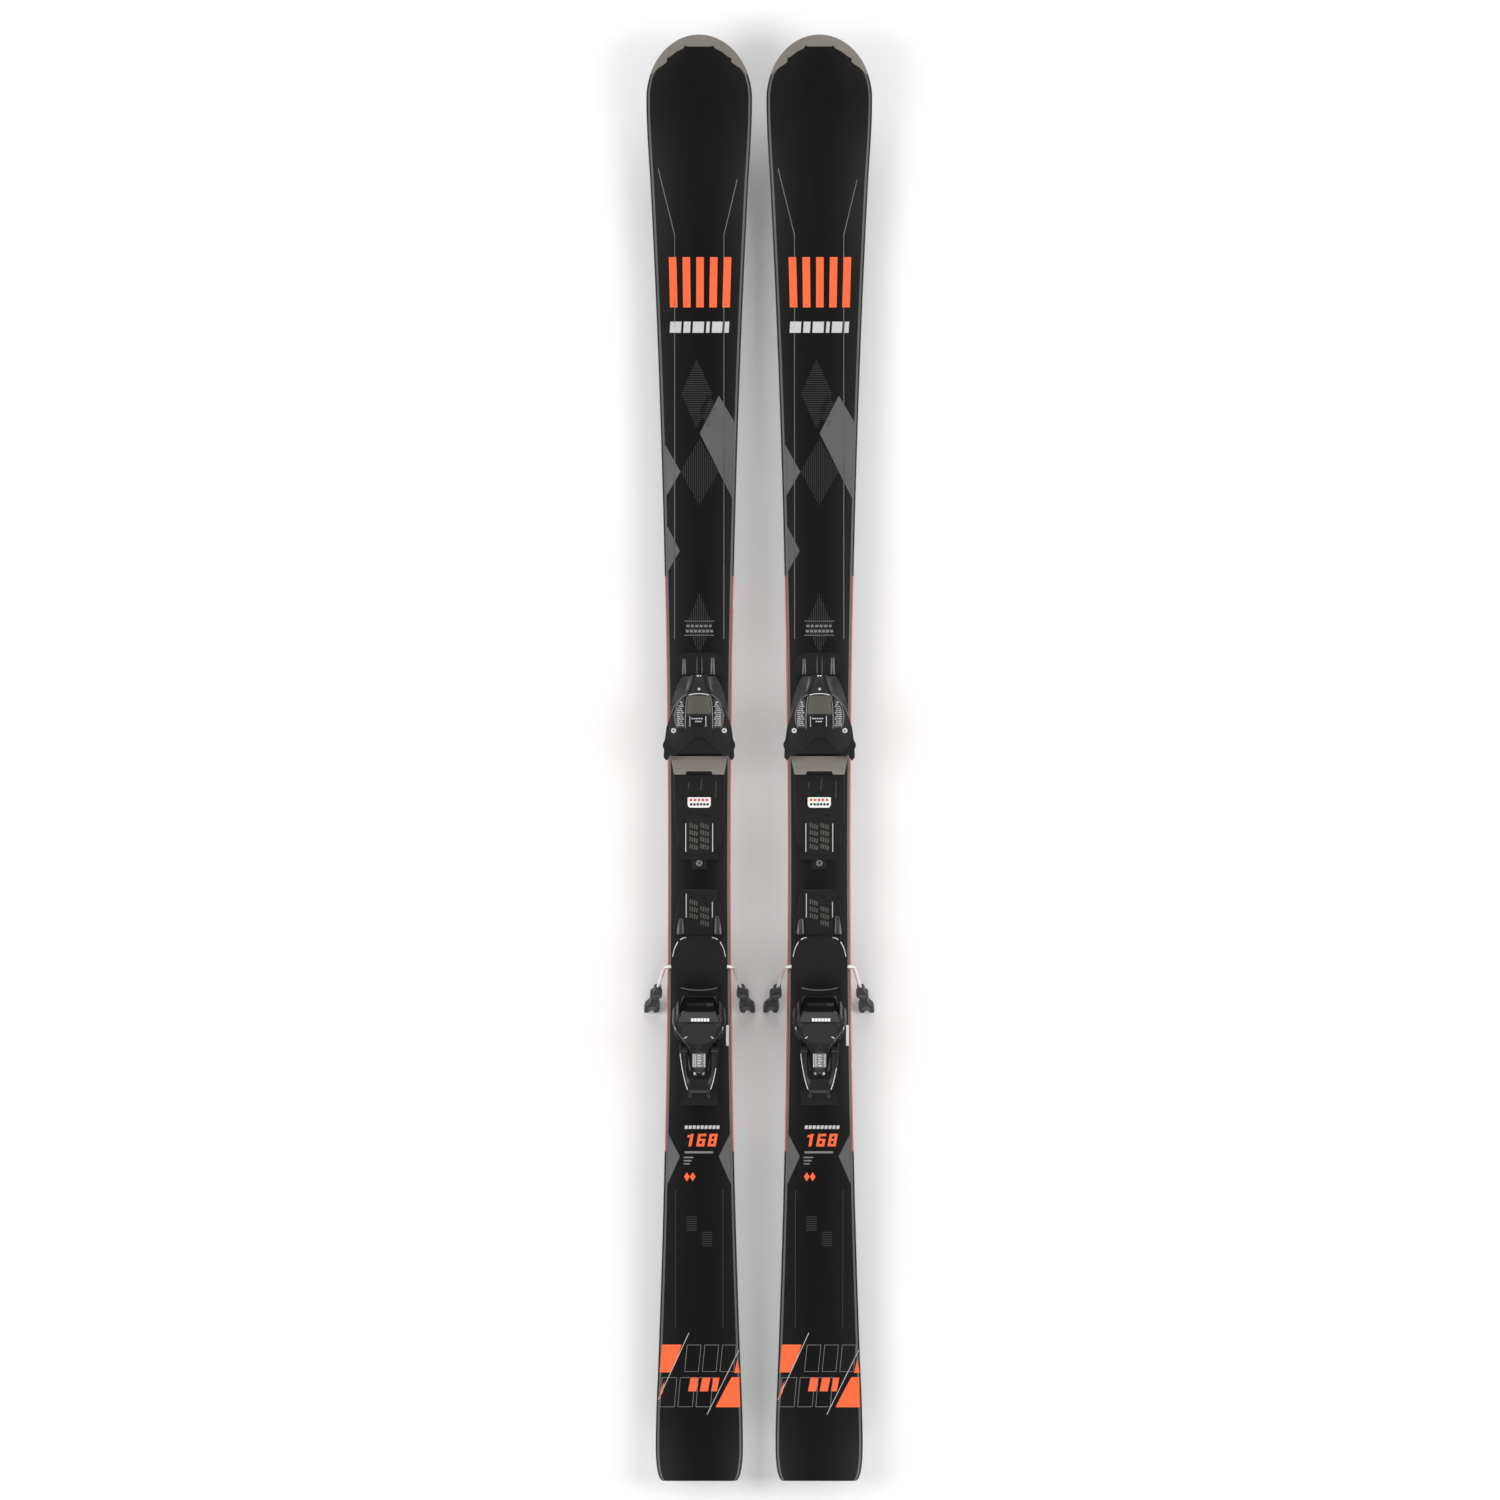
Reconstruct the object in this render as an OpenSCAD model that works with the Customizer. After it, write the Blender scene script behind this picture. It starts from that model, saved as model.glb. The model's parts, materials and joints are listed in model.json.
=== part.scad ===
// A pair of alpine skis with system bindings, brakes open and heels open.
// +X runs across the pair, +Y towards the tips and +Z up. The origin is below
// the middle of the pair, on the plane that the open brake feet stand on.

/* [Pair] */
// Distance between the two skis' centre lines
pair_spacing = 139.2; // [136:0.1:170]

/* [Ski] */
// Length from tip to tail
ski_length = 1675; // [1600:5:1750]
// Width at the widest point of the shovel
tip_w = 122.8; // [116:0.2:128]
// Width at the waist
waist_w = 73.2; // [71:0.2:76]
// Width at the widest point of the tail
tail_w = 101.6; // [96:0.2:108]
// Height of the flat mounting deck above the contact plane
deck_h = 22; // [20:0.5:24]
// Thickness at the tip and at the tail end
end_t = 7; // [6:0.5:9]
// Height of the camber arch under the waist
camber = 4; // [2:0.5:6]
// Rise of the tip above the contact plane
tip_rise = 55; // [45:1:65]
// Rise of the tail end above the contact plane
tail_rise = 8; // [4:1:12]

/* [Binding] */
// Boot sole plane above the deck
sole_h = 26; // [26:0.5:28]
// Boot length adjustment each way of both sliders
adjust_travel = 12; // [0:1:12]
// Angle by which the open heel is tipped back from its closed place
heel_open = 25; // [15:1:25]

/* [Brake] */
// Length of a brake arm from its pivot to the end of its foot
brake_reach = 100; // [90:1:105]
// Angle of the open brake arms below the horizontal
brake_drop = 58; // [50:1:60]
// Angle by which the open brake pad is tipped up from level
pad_tilt = 15; // [5:1:18]
// Diameter of the brake wire
wire_d = 4; // [3.5:0.1:4.4]

/* [Hidden] */
$fn = 48;
clear = 0.2;      // gap around a sliding guide
run_gap = 0.05;   // radial gap of a turning shaft
eps = 0.01;

PIECES = [
    "base", "steel_edges", "core", "sidewalls", "topsheet", "tip_protector",
    "rails", "rail_screws",
    "toe_base", "toe_housing", "toe_cover", "toe_windows", "toe_spring",
    "wing_left", "wing_right", "wing_screws", "afd_plate",
    "toe_screw", "toe_indicator",
    "heel_tongue", "heel_base", "heel_axle", "heel_housing", "heel_lever",
    "heel_spring", "heel_screw", "heel_indicator",
    "brake_arms", "brake_feet", "brake_pad"];
SIDES = ["left", "right"];

// ---- heights
brake_pivot_h = 11;                 // brake pivot above the deck
foot_t = 9;                         // thickness of a brake foot
lift = brake_reach * sin(brake_drop) + foot_t / 2 * cos(brake_drop)
    - brake_pivot_h - deck_h;       // contact plane above the brake feet
deck = lift + deck_h;               // flat top of the ski

// ---- plan of the ski
half_l = ski_length / 2;
waist_y = -117;                     // place of the narrowest point
shoulder_y = half_l - 72.5;         // widest point of the shovel
heel_y = -half_l + 41.5;            // widest point of the tail
sidecut = 3.28e-5;                  // curvature of the sidecut parabola
front_join = shoulder_y - 105;      // the parabola's front end
rear_join = heel_y + 96;            // the parabola's rear end
tail_end_half = 42;                 // half width of the straight tail end
tail_power = 2.3;                   // exponent of the tail's rounded corners
edge_w = 2.2;                       // visible width of a steel edge
wall_w = 5;                         // width of a sidewall
wall_inset = 1.6;                   // sidewall ledge beside the topsheet
wall_front = 213;
wall_rear = -455;

function parabola(y) = waist_w / 2 + sidecut * (y - waist_y) ^ 2;
function slope(y) = 2 * sidecut * (y - waist_y);
// Cubic from value a with slope s to value b with slope 0 over a length l
function ease(t, a, b, s, l) =
    a * (2 * t ^ 3 - 3 * t ^ 2 + 1) + b * (3 * t ^ 2 - 2 * t ^ 3)
    + s * l * (t ^ 3 - 2 * t ^ 2 + t);
function half_w(y) =
    y > front_join
    ? ease((y - front_join) / (shoulder_y - front_join), parabola(front_join),
        tip_w / 2, slope(front_join), shoulder_y - front_join)
    : y < rear_join
    ? ease((rear_join - y) / (rear_join - heel_y), parabola(rear_join),
        tail_w / 2, -slope(rear_join), rear_join - heel_y)
    : parabola(y);

function steps(a, b, n) = [for (i = [0:n]) a + (b - a) * i / n];
function tail(list) = [for (i = [1:len(list) - 1]) list[i]];
function back(list) = [for (i = [len(list) - 1:-1:0]) list[i]];
function mirrored(pts) = [for (p = back(pts)) [-p[0], p[1]]];

SIDE_Y = concat(steps(heel_y, rear_join, 3), tail(steps(rear_join, wall_rear, 5)),
    tail(steps(wall_rear, wall_front, 10)), tail(steps(wall_front, front_join, 8)),
    tail(steps(front_join, shoulder_y, 4)));

function side_pts(inset) = [for (y = SIDE_Y) [half_w(y) - inset, y]];
function nose_pts(inset) = [for (i = [1:13]) let (t = 90 * i / 14)
    [(tip_w / 2 - inset) * cos(t), shoulder_y + (half_l - shoulder_y - inset) * sin(t)]];
function nose_top(inset) = [[0, half_l - inset]];
function tail_pts(inset) = [for (i = [8:-1:1]) let (t = 90 * i / 9)
    [tail_end_half + (tail_w / 2 - tail_end_half) * cos(t) ^ (2 / tail_power) - inset,
        heel_y - (heel_y + half_l - inset) * sin(t) ^ (2 / tail_power)]];
function tail_corner(inset) = [[tail_end_half - inset, -half_l + inset]];
function half_outline(inset) = concat(tail_corner(inset), tail_pts(inset),
    side_pts(inset), nose_pts(inset));
function outline(inset) = concat(half_outline(inset), nose_top(inset),
    mirrored(half_outline(inset)));

// ---- side view of the ski
front_contact = half_l - 277.5;
rear_contact = -half_l + 77.5;
deck_front = 125;
deck_rear = -405;
sole_t = 1.8;                       // thickness of the running base and edges
sheet_t = 1;                        // thickness of the topsheet

mid_contact = (front_contact + rear_contact) / 2;
span_half = (front_contact - rear_contact) / 2;
function base_z(y) = lift
    + (y > front_contact
        ? tip_rise * ((y - front_contact) / (half_l - front_contact)) ^ 2.2
        : y < rear_contact
        ? tail_rise * ((rear_contact - y) / (rear_contact + half_l)) ^ 2
        : camber * (1 - ((y - mid_contact) / span_half) ^ 2) ^ 2);
function taper(y, y0, y1) = end_t + (deck - base_z(y0) - end_t)
    * (1 - (y - y0) / (y1 - y0)) ^ 1.5;
function top_z(y) =
    y > deck_front ? base_z(y) + taper(y, deck_front, half_l)
    : y < deck_rear ? base_z(y) + taper(y, deck_rear, -half_l)
    : deck;

BAND_Y = concat(steps(-half_l, rear_contact, 4), tail(steps(rear_contact, deck_rear, 6)),
    tail(steps(deck_rear, deck_front, 6)), tail(steps(deck_front, front_contact, 7)),
    tail(steps(front_contact, half_l, 10)));

// A band between two heights that follow the ski, from lo above the base to
// hi, which counts from the base or, when from_top is set, from the topsheet
module band(lo, hi, from_top = true) {
    lower = [for (y = BAND_Y) [y, base_z(y) + lo]];
    upper = [for (y = back(BAND_Y)) [y, from_top ? top_z(y) + hi : base_z(y) + hi]];
    rotate([90, 0, 90])
        linear_extrude(2 * tip_w, center = true)
            polygon(concat(lower, upper));
}

module column(pts) {
    linear_extrude(2 * deck + 2 * tip_rise)
        polygon(pts);
}

// ---- the laminated ski
function strip_pts(y0, y1, outer, inner) =
    let (ys = concat([y0], [for (y = SIDE_Y) if (y > y0 && y < y1) y], [y1]))
    concat([for (y = ys) [half_w(y) - outer, y]],
        [for (y = back(ys)) [half_w(y) - inner, y]]);

module both_sides() {
    children();
    mirror([1, 0, 0]) children();
}

module base() {
    color("dimgray")
        difference() {
            intersection() {
                column(outline(0));
                band(0, sole_t, false);
            }
            both_sides() column(edge_strip());
        }
}

function edge_strip() = strip_pts(heel_y, shoulder_y, 0, edge_w);

module steel_edges() {
    color("silver")
        both_sides()
            intersection() {
                column(edge_strip());
                band(0, sole_t, false);
            }
}

module screw_holes() {
    for (p = SCREW_AT)
        translate([p[0], p[1], deck - screw_depth])
            cylinder(r = screw_r, h = screw_depth + 1);
}

module core_block() {
    intersection() {
        column(outline(wall_w));
        band(sole_t, -sheet_t);
    }
}

module core() {
    color("burlywood")
        difference() {
            core_block();
            screw_holes();
        }
}

module wall_strip(outer) {
    column(strip_pts(wall_rear, wall_front, outer, wall_w));
}

module sidewalls() {
    color("orangered")
        both_sides()
            intersection() {
                wall_strip(0);
                band(sole_t, -sheet_t);
            }
}

module topsheet() {
    color([0.09, 0.08, 0.08])
        difference() {
            intersection() {
                column(outline(0));
                band(sole_t, 0);
            }
            core_block();
            both_sides() intersection() {
                wall_strip(-1);
                band(0, -sheet_t);
            }
            both_sides() column(strip_pts(wall_rear, wall_front, -1, wall_inset));
            column(protector_plan());
            screw_holes();
        }
}

// ---- tip protector
protector_y = shoulder_y + 28;
protector_t = 0.6;                  // how far it stands above the topsheet

// Inner edge of the protector, from its right end to the middle tongue
function protector_inner() = [[54.5, protector_y], [38, protector_y + 14],
    [38, protector_y + 18], [17, protector_y + 32], [12, protector_y + 31]];
function protector_plan() = concat([[tip_w, protector_y], [tip_w, half_l + 10],
    [-tip_w, half_l + 10], [-tip_w, protector_y]],
    back(mirrored(protector_inner())), back(protector_inner()));

module tip_protector() {
    color([0.53, 0.5, 0.47])
        difference() {
            intersection() {
                column(outline(0));
                column(protector_plan());
                band(sole_t, protector_t);
            }
            core_block();
        }
}

// ---- binding rails
rail_web = 17;                      // half width of the rail's web
rail_flange = 21.5;                 // half width of the rail's flange
rail_web_h = 3;
rail_h = 6;
TOE_SLIDER = [-16.5, 84];
HEEL_SLIDER = [-326, -216];
pressure_travel = 8;                // how far the heel yields to the boot's pressure
FRONT_RAIL = [-116, TOE_SLIDER[1] + adjust_travel + 24];
REAR_RAIL = [HEEL_SLIDER[0] - adjust_travel - pressure_travel - 55, -150];
tab_end = -127;                     // rear end of the front rail's screw tab
tab_half = 9;
seat_t = 2;                         // plastic below a screw head
screw_r = 2.2;
screw_depth = 10;
screw_head_r = 4;
screw_head_h = 2.4;
cap_h = 7;                          // front cap that closes the toe piece's rail
RAIL_CAP = [[28, 97.5], [28.5, 104], [28, 114], [25, 120.5], [18, 124]];
SCREW_AT = concat([for (x = [-11, 11], y = [86, 20, -100, -162, -300, -390]) [x, y]],
    [[0, -120]]);

module rail_section(gap) {
    web_half = rail_web + gap;
    polygon([[-web_half, -1], [web_half, -1], [web_half, rail_web_h - gap],
        [rail_flange + gap, rail_web_h - gap], [rail_flange + gap, rail_h + gap],
        [-rail_flange - gap, rail_h + gap], [-rail_flange - gap, rail_web_h - gap],
        [-web_half, rail_web_h - gap]]);
}

module rail_bar(y0, y1, gap) {
    translate([0, y1, deck])
        rotate([90, 0, 0])
            linear_extrude(y1 - y0)
                rail_section(gap);
}

module rails() {
    color([0.12, 0.12, 0.12])
        difference() {
            union() {
                intersection() {
                    rail_bar(FRONT_RAIL[0], FRONT_RAIL[1], 0);
                    box(rail_flange, FRONT_RAIL[0], FRONT_RAIL[1], 0, rail_h);
                }
                plate(RAIL_CAP, 0, cap_h);
                box(tab_half, tab_end, FRONT_RAIL[0] + 1, 0, seat_t);
                intersection() {
                    rail_bar(REAR_RAIL[0], REAR_RAIL[1], 0);
                    box(rail_flange, REAR_RAIL[0], REAR_RAIL[1], 0, rail_h);
                }
            }
            for (p = SCREW_AT) {
                translate([p[0], p[1], deck - 1])
                    cylinder(r = screw_r, h = rail_h + 2);
                translate([p[0], p[1], deck + seat_t])
                    cylinder(r = screw_head_r, h = rail_h);
            }
        }
}

module rail_screws() {
    color("gainsboro")
        for (p = SCREW_AT)
            translate([p[0], p[1], deck - screw_depth])
                difference() {
                    union() {
                        cylinder(r = screw_r, h = screw_depth + seat_t + eps);
                        translate([0, 0, screw_depth + seat_t])
                            cylinder(r = screw_head_r, h = screw_head_h);
                    }
                    translate([0, 0, screw_depth + seat_t + 1])
                        cross_recess(2.4, 1, 2);
                }
}

// ---- shared helpers, with heights counted from the deck
module box(half, y0, y1, z0, z1) {
    translate([-half, y0, deck + z0])
        cube([2 * half, y1 - y0, z1 - z0]);
}

module side_box(x0, x1, y0, y1, z0, z1) {
    both_sides()
        translate([x0, y0, deck + z0])
            cube([x1 - x0, y1 - y0, z1 - z0]);
}

module plate(half_pts, z0, z1) {
    translate([0, 0, deck + z0])
        linear_extrude(z1 - z0)
            polygon(concat(half_pts, mirrored(half_pts)));
}

module rod_x(y, z, r, x0, x1) {
    translate([x0, y, deck + z])
        rotate([0, 90, 0])
            cylinder(r = r, h = x1 - x0);
}

module rod_y(y0, y1, z, r) {
    translate([0, y1, deck + z])
        rotate([90, 0, 0])
            cylinder(r = r, h = y1 - y0);
}

module cross_recess(size, width, depth) {
    for (a = [0, 90])
        rotate([0, 0, a])
            translate([-size, -width / 2, 0])
                cube([2 * size, width, depth]);
}

// A closely wound coil about the Y axis, as one solid of revolution
module coil_y(y0, y1, z, r, wire, turns) {
    pitch = (y1 - y0) / turns;
    outer = [for (i = [0:turns - 1], k = [0, 1])
        [r - (k == 0 ? wire / 4 : 0), (i + k / 2) * pitch]];
    translate([0, y0, deck + z])
        rotate([-90, 0, 0])
            rotate_extrude()
                polygon(concat([[r - wire, 0]], outer,
                    [[r - wire / 4, y1 - y0], [r - wire, y1 - y0]]));
}

// ---- toe piece
slider_half = 26;
slider_h = 10;
tongue_half = 15.5;
tongue_z = rail_h + clear;
tongue_t = 3;
TOE_TONGUE = [-110, TOE_SLIDER[0] + 1];
AFD = [-17.5, 4];                   // sliding anti-friction plate along the ski
afd_rib = 15;                       // half length of the plate's guide rib
afd_travel = 6;                     // sideways travel each way
wing_z = 27.5;
wing_top = 46;
roof_z = 46.3;
roof_top = 50;
PIVOT = [29.3, 33.4];               // pivot screw of the right wing
pivot_r = 3;
toe_bore_z = 36.7;
toe_bore_r = 8.5;

// Lugs beside a tongue that reach below the rail's flange
// Lugs that hold a tongue to its rail, from the right outline, rear to front
module tongue_lugs(half_pts) {
    difference() {
        plate(half_pts, 0.4, tongue_z + 2);
        rail_bar(half_pts[0][1] - 1, half_pts[len(half_pts) - 1][1] + 1, clear);
    }
}

module scale_tongue(y0, y1) {
    difference() {
        plate([[tongue_half, y0], [tongue_half, y1]], tongue_z, tongue_z + tongue_t);
        for (row = [0:3], x = [-9, 3])
            translate([x, y0 + 6 + 8 * row, deck + tongue_z + tongue_t - 0.6])
                cube([6.5, 4.5, 2]);
    }
}

module toe_base() {
    color([0.13, 0.13, 0.13])
        difference() {
            union() {
                plate([[slider_half, TOE_SLIDER[0]], [slider_half, 60], [16, TOE_SLIDER[1]]],
                    0.4, slider_h);
                scale_tongue(TOE_TONGUE[0], TOE_TONGUE[1]);
                tongue_lugs([[18, -106], [25.5, -99], [28.5, -70], [30, TOE_SLIDER[0] + 1]]);
                box(24, TOE_SLIDER[0], AFD[1] - 1, slider_h - eps, 21);
            }
            rail_bar(TOE_SLIDER[0] - 1, TOE_SLIDER[1] + 6, clear);
            box(afd_rib + afd_travel + 1, -11.8, -2.2, 16.8, 22);
        }
}

// Outer shape of the toe housing, seen from above
TOE_ROOF = [[33, 5], [36.5, 22], [36, 37], [33, 50], [26, 66], [17, 74], [12, 81],
    [9, 97]];
TOE_NOSE = [[34, 50], [26, 66], [17, 74], [12, 81], [9, 98]];
WINDOW = [16, 25, 37, 69];          // right scale window: x from, to, y from, to

module toe_housing() {
    color([0.1, 0.1, 0.1])
        difference() {
            union() {
                plate([[34, 49], [32, 66], [27, 82], [20, 96]], slider_h, 15);
                plate([[30, 24], [34, 37], [34, 50], [26, 66], [17, 74], [12, 81], [9, 95]],
                    slider_h, wing_z - 0.3);
                plate(TOE_NOSE, wing_z - 0.3 - eps, roof_z + eps);
                box(13, 24, 51, wing_z - 0.3 - eps, roof_z + eps);
                plate(TOE_ROOF, roof_z, roof_top);
            }
            rod_y(26, 76, toe_bore_z, toe_bore_r);
            rod_y(75, 90, toe_bore_z, 3 + run_gap);
            rod_y(88, 100, toe_bore_z, 6 + run_gap);
            both_sides() translate([PIVOT[0], PIVOT[1], deck + slider_h + 2])
                cylinder(r = pivot_r, h = roof_top);
            box(24, 44, 63, roof_z - eps, 48.6);
            side_box(WINDOW[0], WINDOW[1], WINDOW[2], WINDOW[3], roof_z - 1, roof_top + 1);
            box(8.5, 37, 50, 48.8, 51);
        }
}

module toe_cover() {
    color([0.33, 0.33, 0.3])
        plate([[14.6, 53], [12, 74]], roof_top, roof_top + 1.5);
}

module toe_windows() {
    color([0.7, 0.75, 0.78, 0.5])
        union() {
            side_box(WINDOW[0], WINDOW[1], WINDOW[2], WINDOW[3], 48.8, roof_top + 0.4);
            box(8.5, 37, 50, 48.8, roof_top + 0.2);
        }
}

module toe_spring() {
    color("lightsteelblue")
        coil_y(27, 74, toe_bore_z, 8.2, 2.7, 9);
}

module toe_screw() {
    color("gainsboro")
        difference() {
            union() {
                rod_y(40, 90.5, toe_bore_z, 3);
                rod_y(90.1, 97, toe_bore_z, 6);
            }
            translate([0, 98, deck + toe_bore_z])
                rotate([90, 0, 0])
                    cross_recess(4, 1.4, 3);
        }
}

module toe_indicator() {
    color("red")
        box(23, 52, 55, 46.6, 48.2);
}

// The right wing's plan: pivot end in front, boot cup behind
WING = [[19, 42], [21, 47], [35, 47], [38, 37], [40, 22], [42, 17], [41, 2], [37, -1.7],
    [34.5, 2], [30, 12], [23, 19], [15, 24]];

module wing() {
    difference() {
        translate([0, 0, deck + wing_z])
            linear_extrude(wing_top - wing_z)
                polygon(WING);
        translate([PIVOT[0], PIVOT[1], deck + wing_z - 1])
            cylinder(r = pivot_r + run_gap, h = wing_top - wing_z + 2);
    }
}

module wing_left() {
    color([0.1, 0.1, 0.1]) mirror([1, 0, 0]) wing();
}

module wing_right() {
    color([0.1, 0.1, 0.1]) wing();
}

module wing_screws() {
    color("gainsboro")
        both_sides()
            translate([PIVOT[0], PIVOT[1], deck + slider_h + 2])
                difference() {
                    cylinder(r = pivot_r, h = roof_top - slider_h - 1.6);
                    translate([0, 0, roof_top - slider_h - 2.6])
                        cross_recess(2, 0.9, 2);
                }
}

module afd_plate() {
    color([0.47, 0.45, 0.43])
        union() {
            difference() {
                plate([[29, AFD[0]], [33.3, AFD[1]]], 21.3, sole_h);
                box(14.6, AFD[0] - 1, -13.6, 21, sole_h + 1);
            }
            box(afd_rib, -11.5, -2.5, 17.1, 21.3 + eps);
        }
}

// ---- heel piece
HEEL_TONGUE = [-205, -155];
brake_floor = 8.4;                  // top of the slider below the brake cranks
rod_half = 5;                       // forward pressure rod
HEEL_AXLE = [-312, 32];             // axle of the heel housing: y, z above the deck
axle_r = 3;
pin_gap = 0.05;                     // round a pin that stays in its hole
lug_r = 8;
LEVER_PIN = [-16, 18];              // lever pivot from the heel axle, heel closed
lever_pin_r = 4;
heel_bore_z = 13;                   // release spring above the heel axle
heel_bore_r = 8.4;

module heel_tongue() {
    color([0.13, 0.13, 0.13])
        union() {
            scale_tongue(HEEL_TONGUE[0], HEEL_TONGUE[1]);
            tongue_lugs([[30, -203], [29, -192], [23.5, -158]]);
            box(rod_half, -262, HEEL_TONGUE[0] + eps, tongue_z + 0.1, 8.7);
        }
}

module heel_base() {
    color([0.12, 0.12, 0.12])
        difference() {
            union() {
                plate([[18, HEEL_SLIDER[0]], [slider_half, HEEL_SLIDER[0] + 12],
                    [slider_half, HEEL_SLIDER[1] - 6], [20, HEEL_SLIDER[1]]], 0.4, brake_floor);
                plate([[18, HEEL_SLIDER[0]], [slider_half, HEEL_SLIDER[0] + 12],
                    [slider_half, -252]], brake_floor - eps, slider_h);
                side_box(21, 31, -246.5, -233.5, brake_floor - 4, brake_pivot_h + 4.5);
                side_box(18.3, 24.5, HEEL_AXLE[0] - lug_r, HEEL_AXLE[0] + lug_r, slider_h - eps,
                    HEEL_AXLE[1]);
                for (s = [-1, 1])
                    rod_x(HEEL_AXLE[0], HEEL_AXLE[1], lug_r, s > 0 ? 18.3 : -24.5,
                        s > 0 ? 24.5 : -18.3);
            }
            rail_bar(HEEL_SLIDER[0] - 1, HEEL_SLIDER[1] + 1, clear);
            box(rod_half + 0.3, -280, HEEL_SLIDER[1] + 1, 4, 9);
            rod_x(-240, brake_pivot_h, wire_d / 2 + run_gap, -32, 32);
            rod_x(HEEL_AXLE[0], HEEL_AXLE[1], axle_r + pin_gap, -25, 25);
        }
}

module heel_axle() {
    color("silver")
        rod_x(HEEL_AXLE[0], HEEL_AXLE[1], axle_r, -24.5, 24.5);
}

// Places children that are drawn for a closed heel, with the axle as origin
module heel_pose() {
    translate([0, HEEL_AXLE[0], deck + HEEL_AXLE[1]])
        rotate([heel_open, 0, 0])
            translate([0, 0, -deck])
                children();
}

module heel_housing() {
    color([0.1, 0.1, 0.1])
        heel_pose()
            difference() {
                union() {
                    box(13, -44, 14, 3.2, 25);
                    rod_x(0, 0, 7, -18, 18);
                    box(13, -6, 14, -3, 4);
                    plate([[18, 8.6], [25, 11], [31, 22], [30, 27]], -6, 31);
                    plate([[20, 26], [18, 39]], -12, -6.5);
                    box(25, 12, 27, -12, -5.9);
                    plate([[22, 26], [18, 38]], 26, 31);
                    rod_x(LEVER_PIN[0], LEVER_PIN[1], lever_pin_r, -22.5, 22.5);
                }
                rod_x(0, 0, axle_r + run_gap, -19, 19);
                rod_y(-38, 14, heel_bore_z, heel_bore_r);
                rod_y(-46, -37, heel_bore_z, 4 + run_gap);
                box(6, -36, -18, 21.9, 26);
            }
}

module heel_spring() {
    color("lightsteelblue")
        heel_pose() coil_y(-36, 12, heel_bore_z, 8.1, 2.7, 9);
}

module heel_screw() {
    color("gainsboro")
        heel_pose()
            difference() {
                union() {
                    rod_y(-45, -10, heel_bore_z, 4);
                    rod_y(-50, -44.5, heel_bore_z, 7);
                }
                translate([0, -47, deck + heel_bore_z])
                    rotate([90, 0, 0])
                        cross_recess(5, 1.4, 4);
            }
}

module heel_indicator() {
    color("red")
        heel_pose() box(5.5, -29.5, -24.5, 22.1, 24.2);
}

lever_y = HEEL_AXLE[0] + LEVER_PIN[0] * cos(heel_open) - LEVER_PIN[1] * sin(heel_open);
lever_z = HEEL_AXLE[1] + LEVER_PIN[0] * sin(heel_open) + LEVER_PIN[1] * cos(heel_open);
LEVER_END = [-386, -371];           // cross piece at the free end of the lever
lever_tilt = 6;                     // free end below level, heel open

module heel_lever() {
    color([0.1, 0.1, 0.1])
        difference() {
            union() {
                rotate_about_x(lever_y, lever_z, lever_tilt)
                    plate([[13, LEVER_END[0]], [22.6, lever_y]], lever_z - 4, lever_z + 4);
                both_sides() rod_x(lever_y, lever_z, 6.5, 14, 22.6);
            }
            rotate_about_x(lever_y, lever_z, lever_tilt)
                box(13.8, LEVER_END[1], lever_y + 10, lever_z - 9, lever_z + 9);
            rod_x(lever_y, lever_z, lever_pin_r + run_gap, -30, 30);
        }
}

module rotate_about_x(y, z, angle) {
    translate([0, y, deck + z])
        rotate([angle, 0, 0])
            translate([0, -y, -deck - z])
                children();
}

// ---- ski brake, drawn closed with its pivot as origin
BRAKE_Y = -240;
crank_r = 26;                       // pivot to pad bar
crank_angle = 20;                   // crank above the horizontal, brake closed
crank_x = 16.5;
arm_x = 40.2;                       // where an arm leaves its pivot
splay = 0.167;                      // outward slope of an arm
bend_r = 4;                         // centre line of the wire's bends
bend_swell = 0.1;                   // the wire is thicker where it is bent
arm_l = 87;                         // corner to the wire's end inside the foot
arm_turn = 90 - atan(splay);
arm_dir = [sin(atan(splay)), -cos(atan(splay))];
BAR = [crank_r * cos(crank_angle), crank_r * sin(crank_angle)];

module brake_pose() {
    translate([0, BRAKE_Y, deck + brake_pivot_h])
        rotate([brake_drop, 0, 0])
            children();
}

function setback(turn) = bend_r * tan(abs(turn) / 2);

// Bend of the wire in its own plane: corner, heading before it and turn to the left
module elbow(corner, heading, turn) {
    before = [cos(heading), sin(heading)];
    left = sign(turn) * [-sin(heading), cos(heading)];
    centre = corner - setback(turn) * before + bend_r * left;
    translate([centre[0], centre[1], 0])
        rotate([0, 0, turn > 0 ? heading - 90 : heading + 90 + turn])
            rotate_extrude(angle = abs(turn), $fn = 48)
                translate([bend_r, 0])
                    circle(r = wire_d / 2 + bend_swell);
}

// Straight wire in the bends' plane; before and after reach into the bends
module straight(a, b, before = 0.4, after = 0.4) {
    run = norm(b - a);
    along = (b - a) / run;
    start = a - before * along;
    translate([start[0], start[1], 0])
        rotate([0, 90, atan2(along[1], along[0])])
            cylinder(r = wire_d / 2, h = run + before + after);
}

module brake_arms() {
    color("silver")
        brake_pose() {
            rotate([crank_angle, 0, 0]) {
                straight([bend_r - crank_x, crank_r], [crank_x - bend_r, crank_r]);
                both_sides() {
                    elbow([crank_x, crank_r], 0, -90);
                    straight([crank_x, crank_r - bend_r], [crank_x, bend_r]);
                    elbow([crank_x, 0], -90, 90);
                }
            }
            both_sides() {
                straight([crank_x + bend_r, 0], [arm_x - setback(arm_turn), 0]);
                elbow([arm_x, 0], 0, -arm_turn);
                straight([arm_x, 0] + setback(arm_turn) * arm_dir,
                    [arm_x, 0] + arm_l * arm_dir, after = 0);
            }
        }
}

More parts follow.
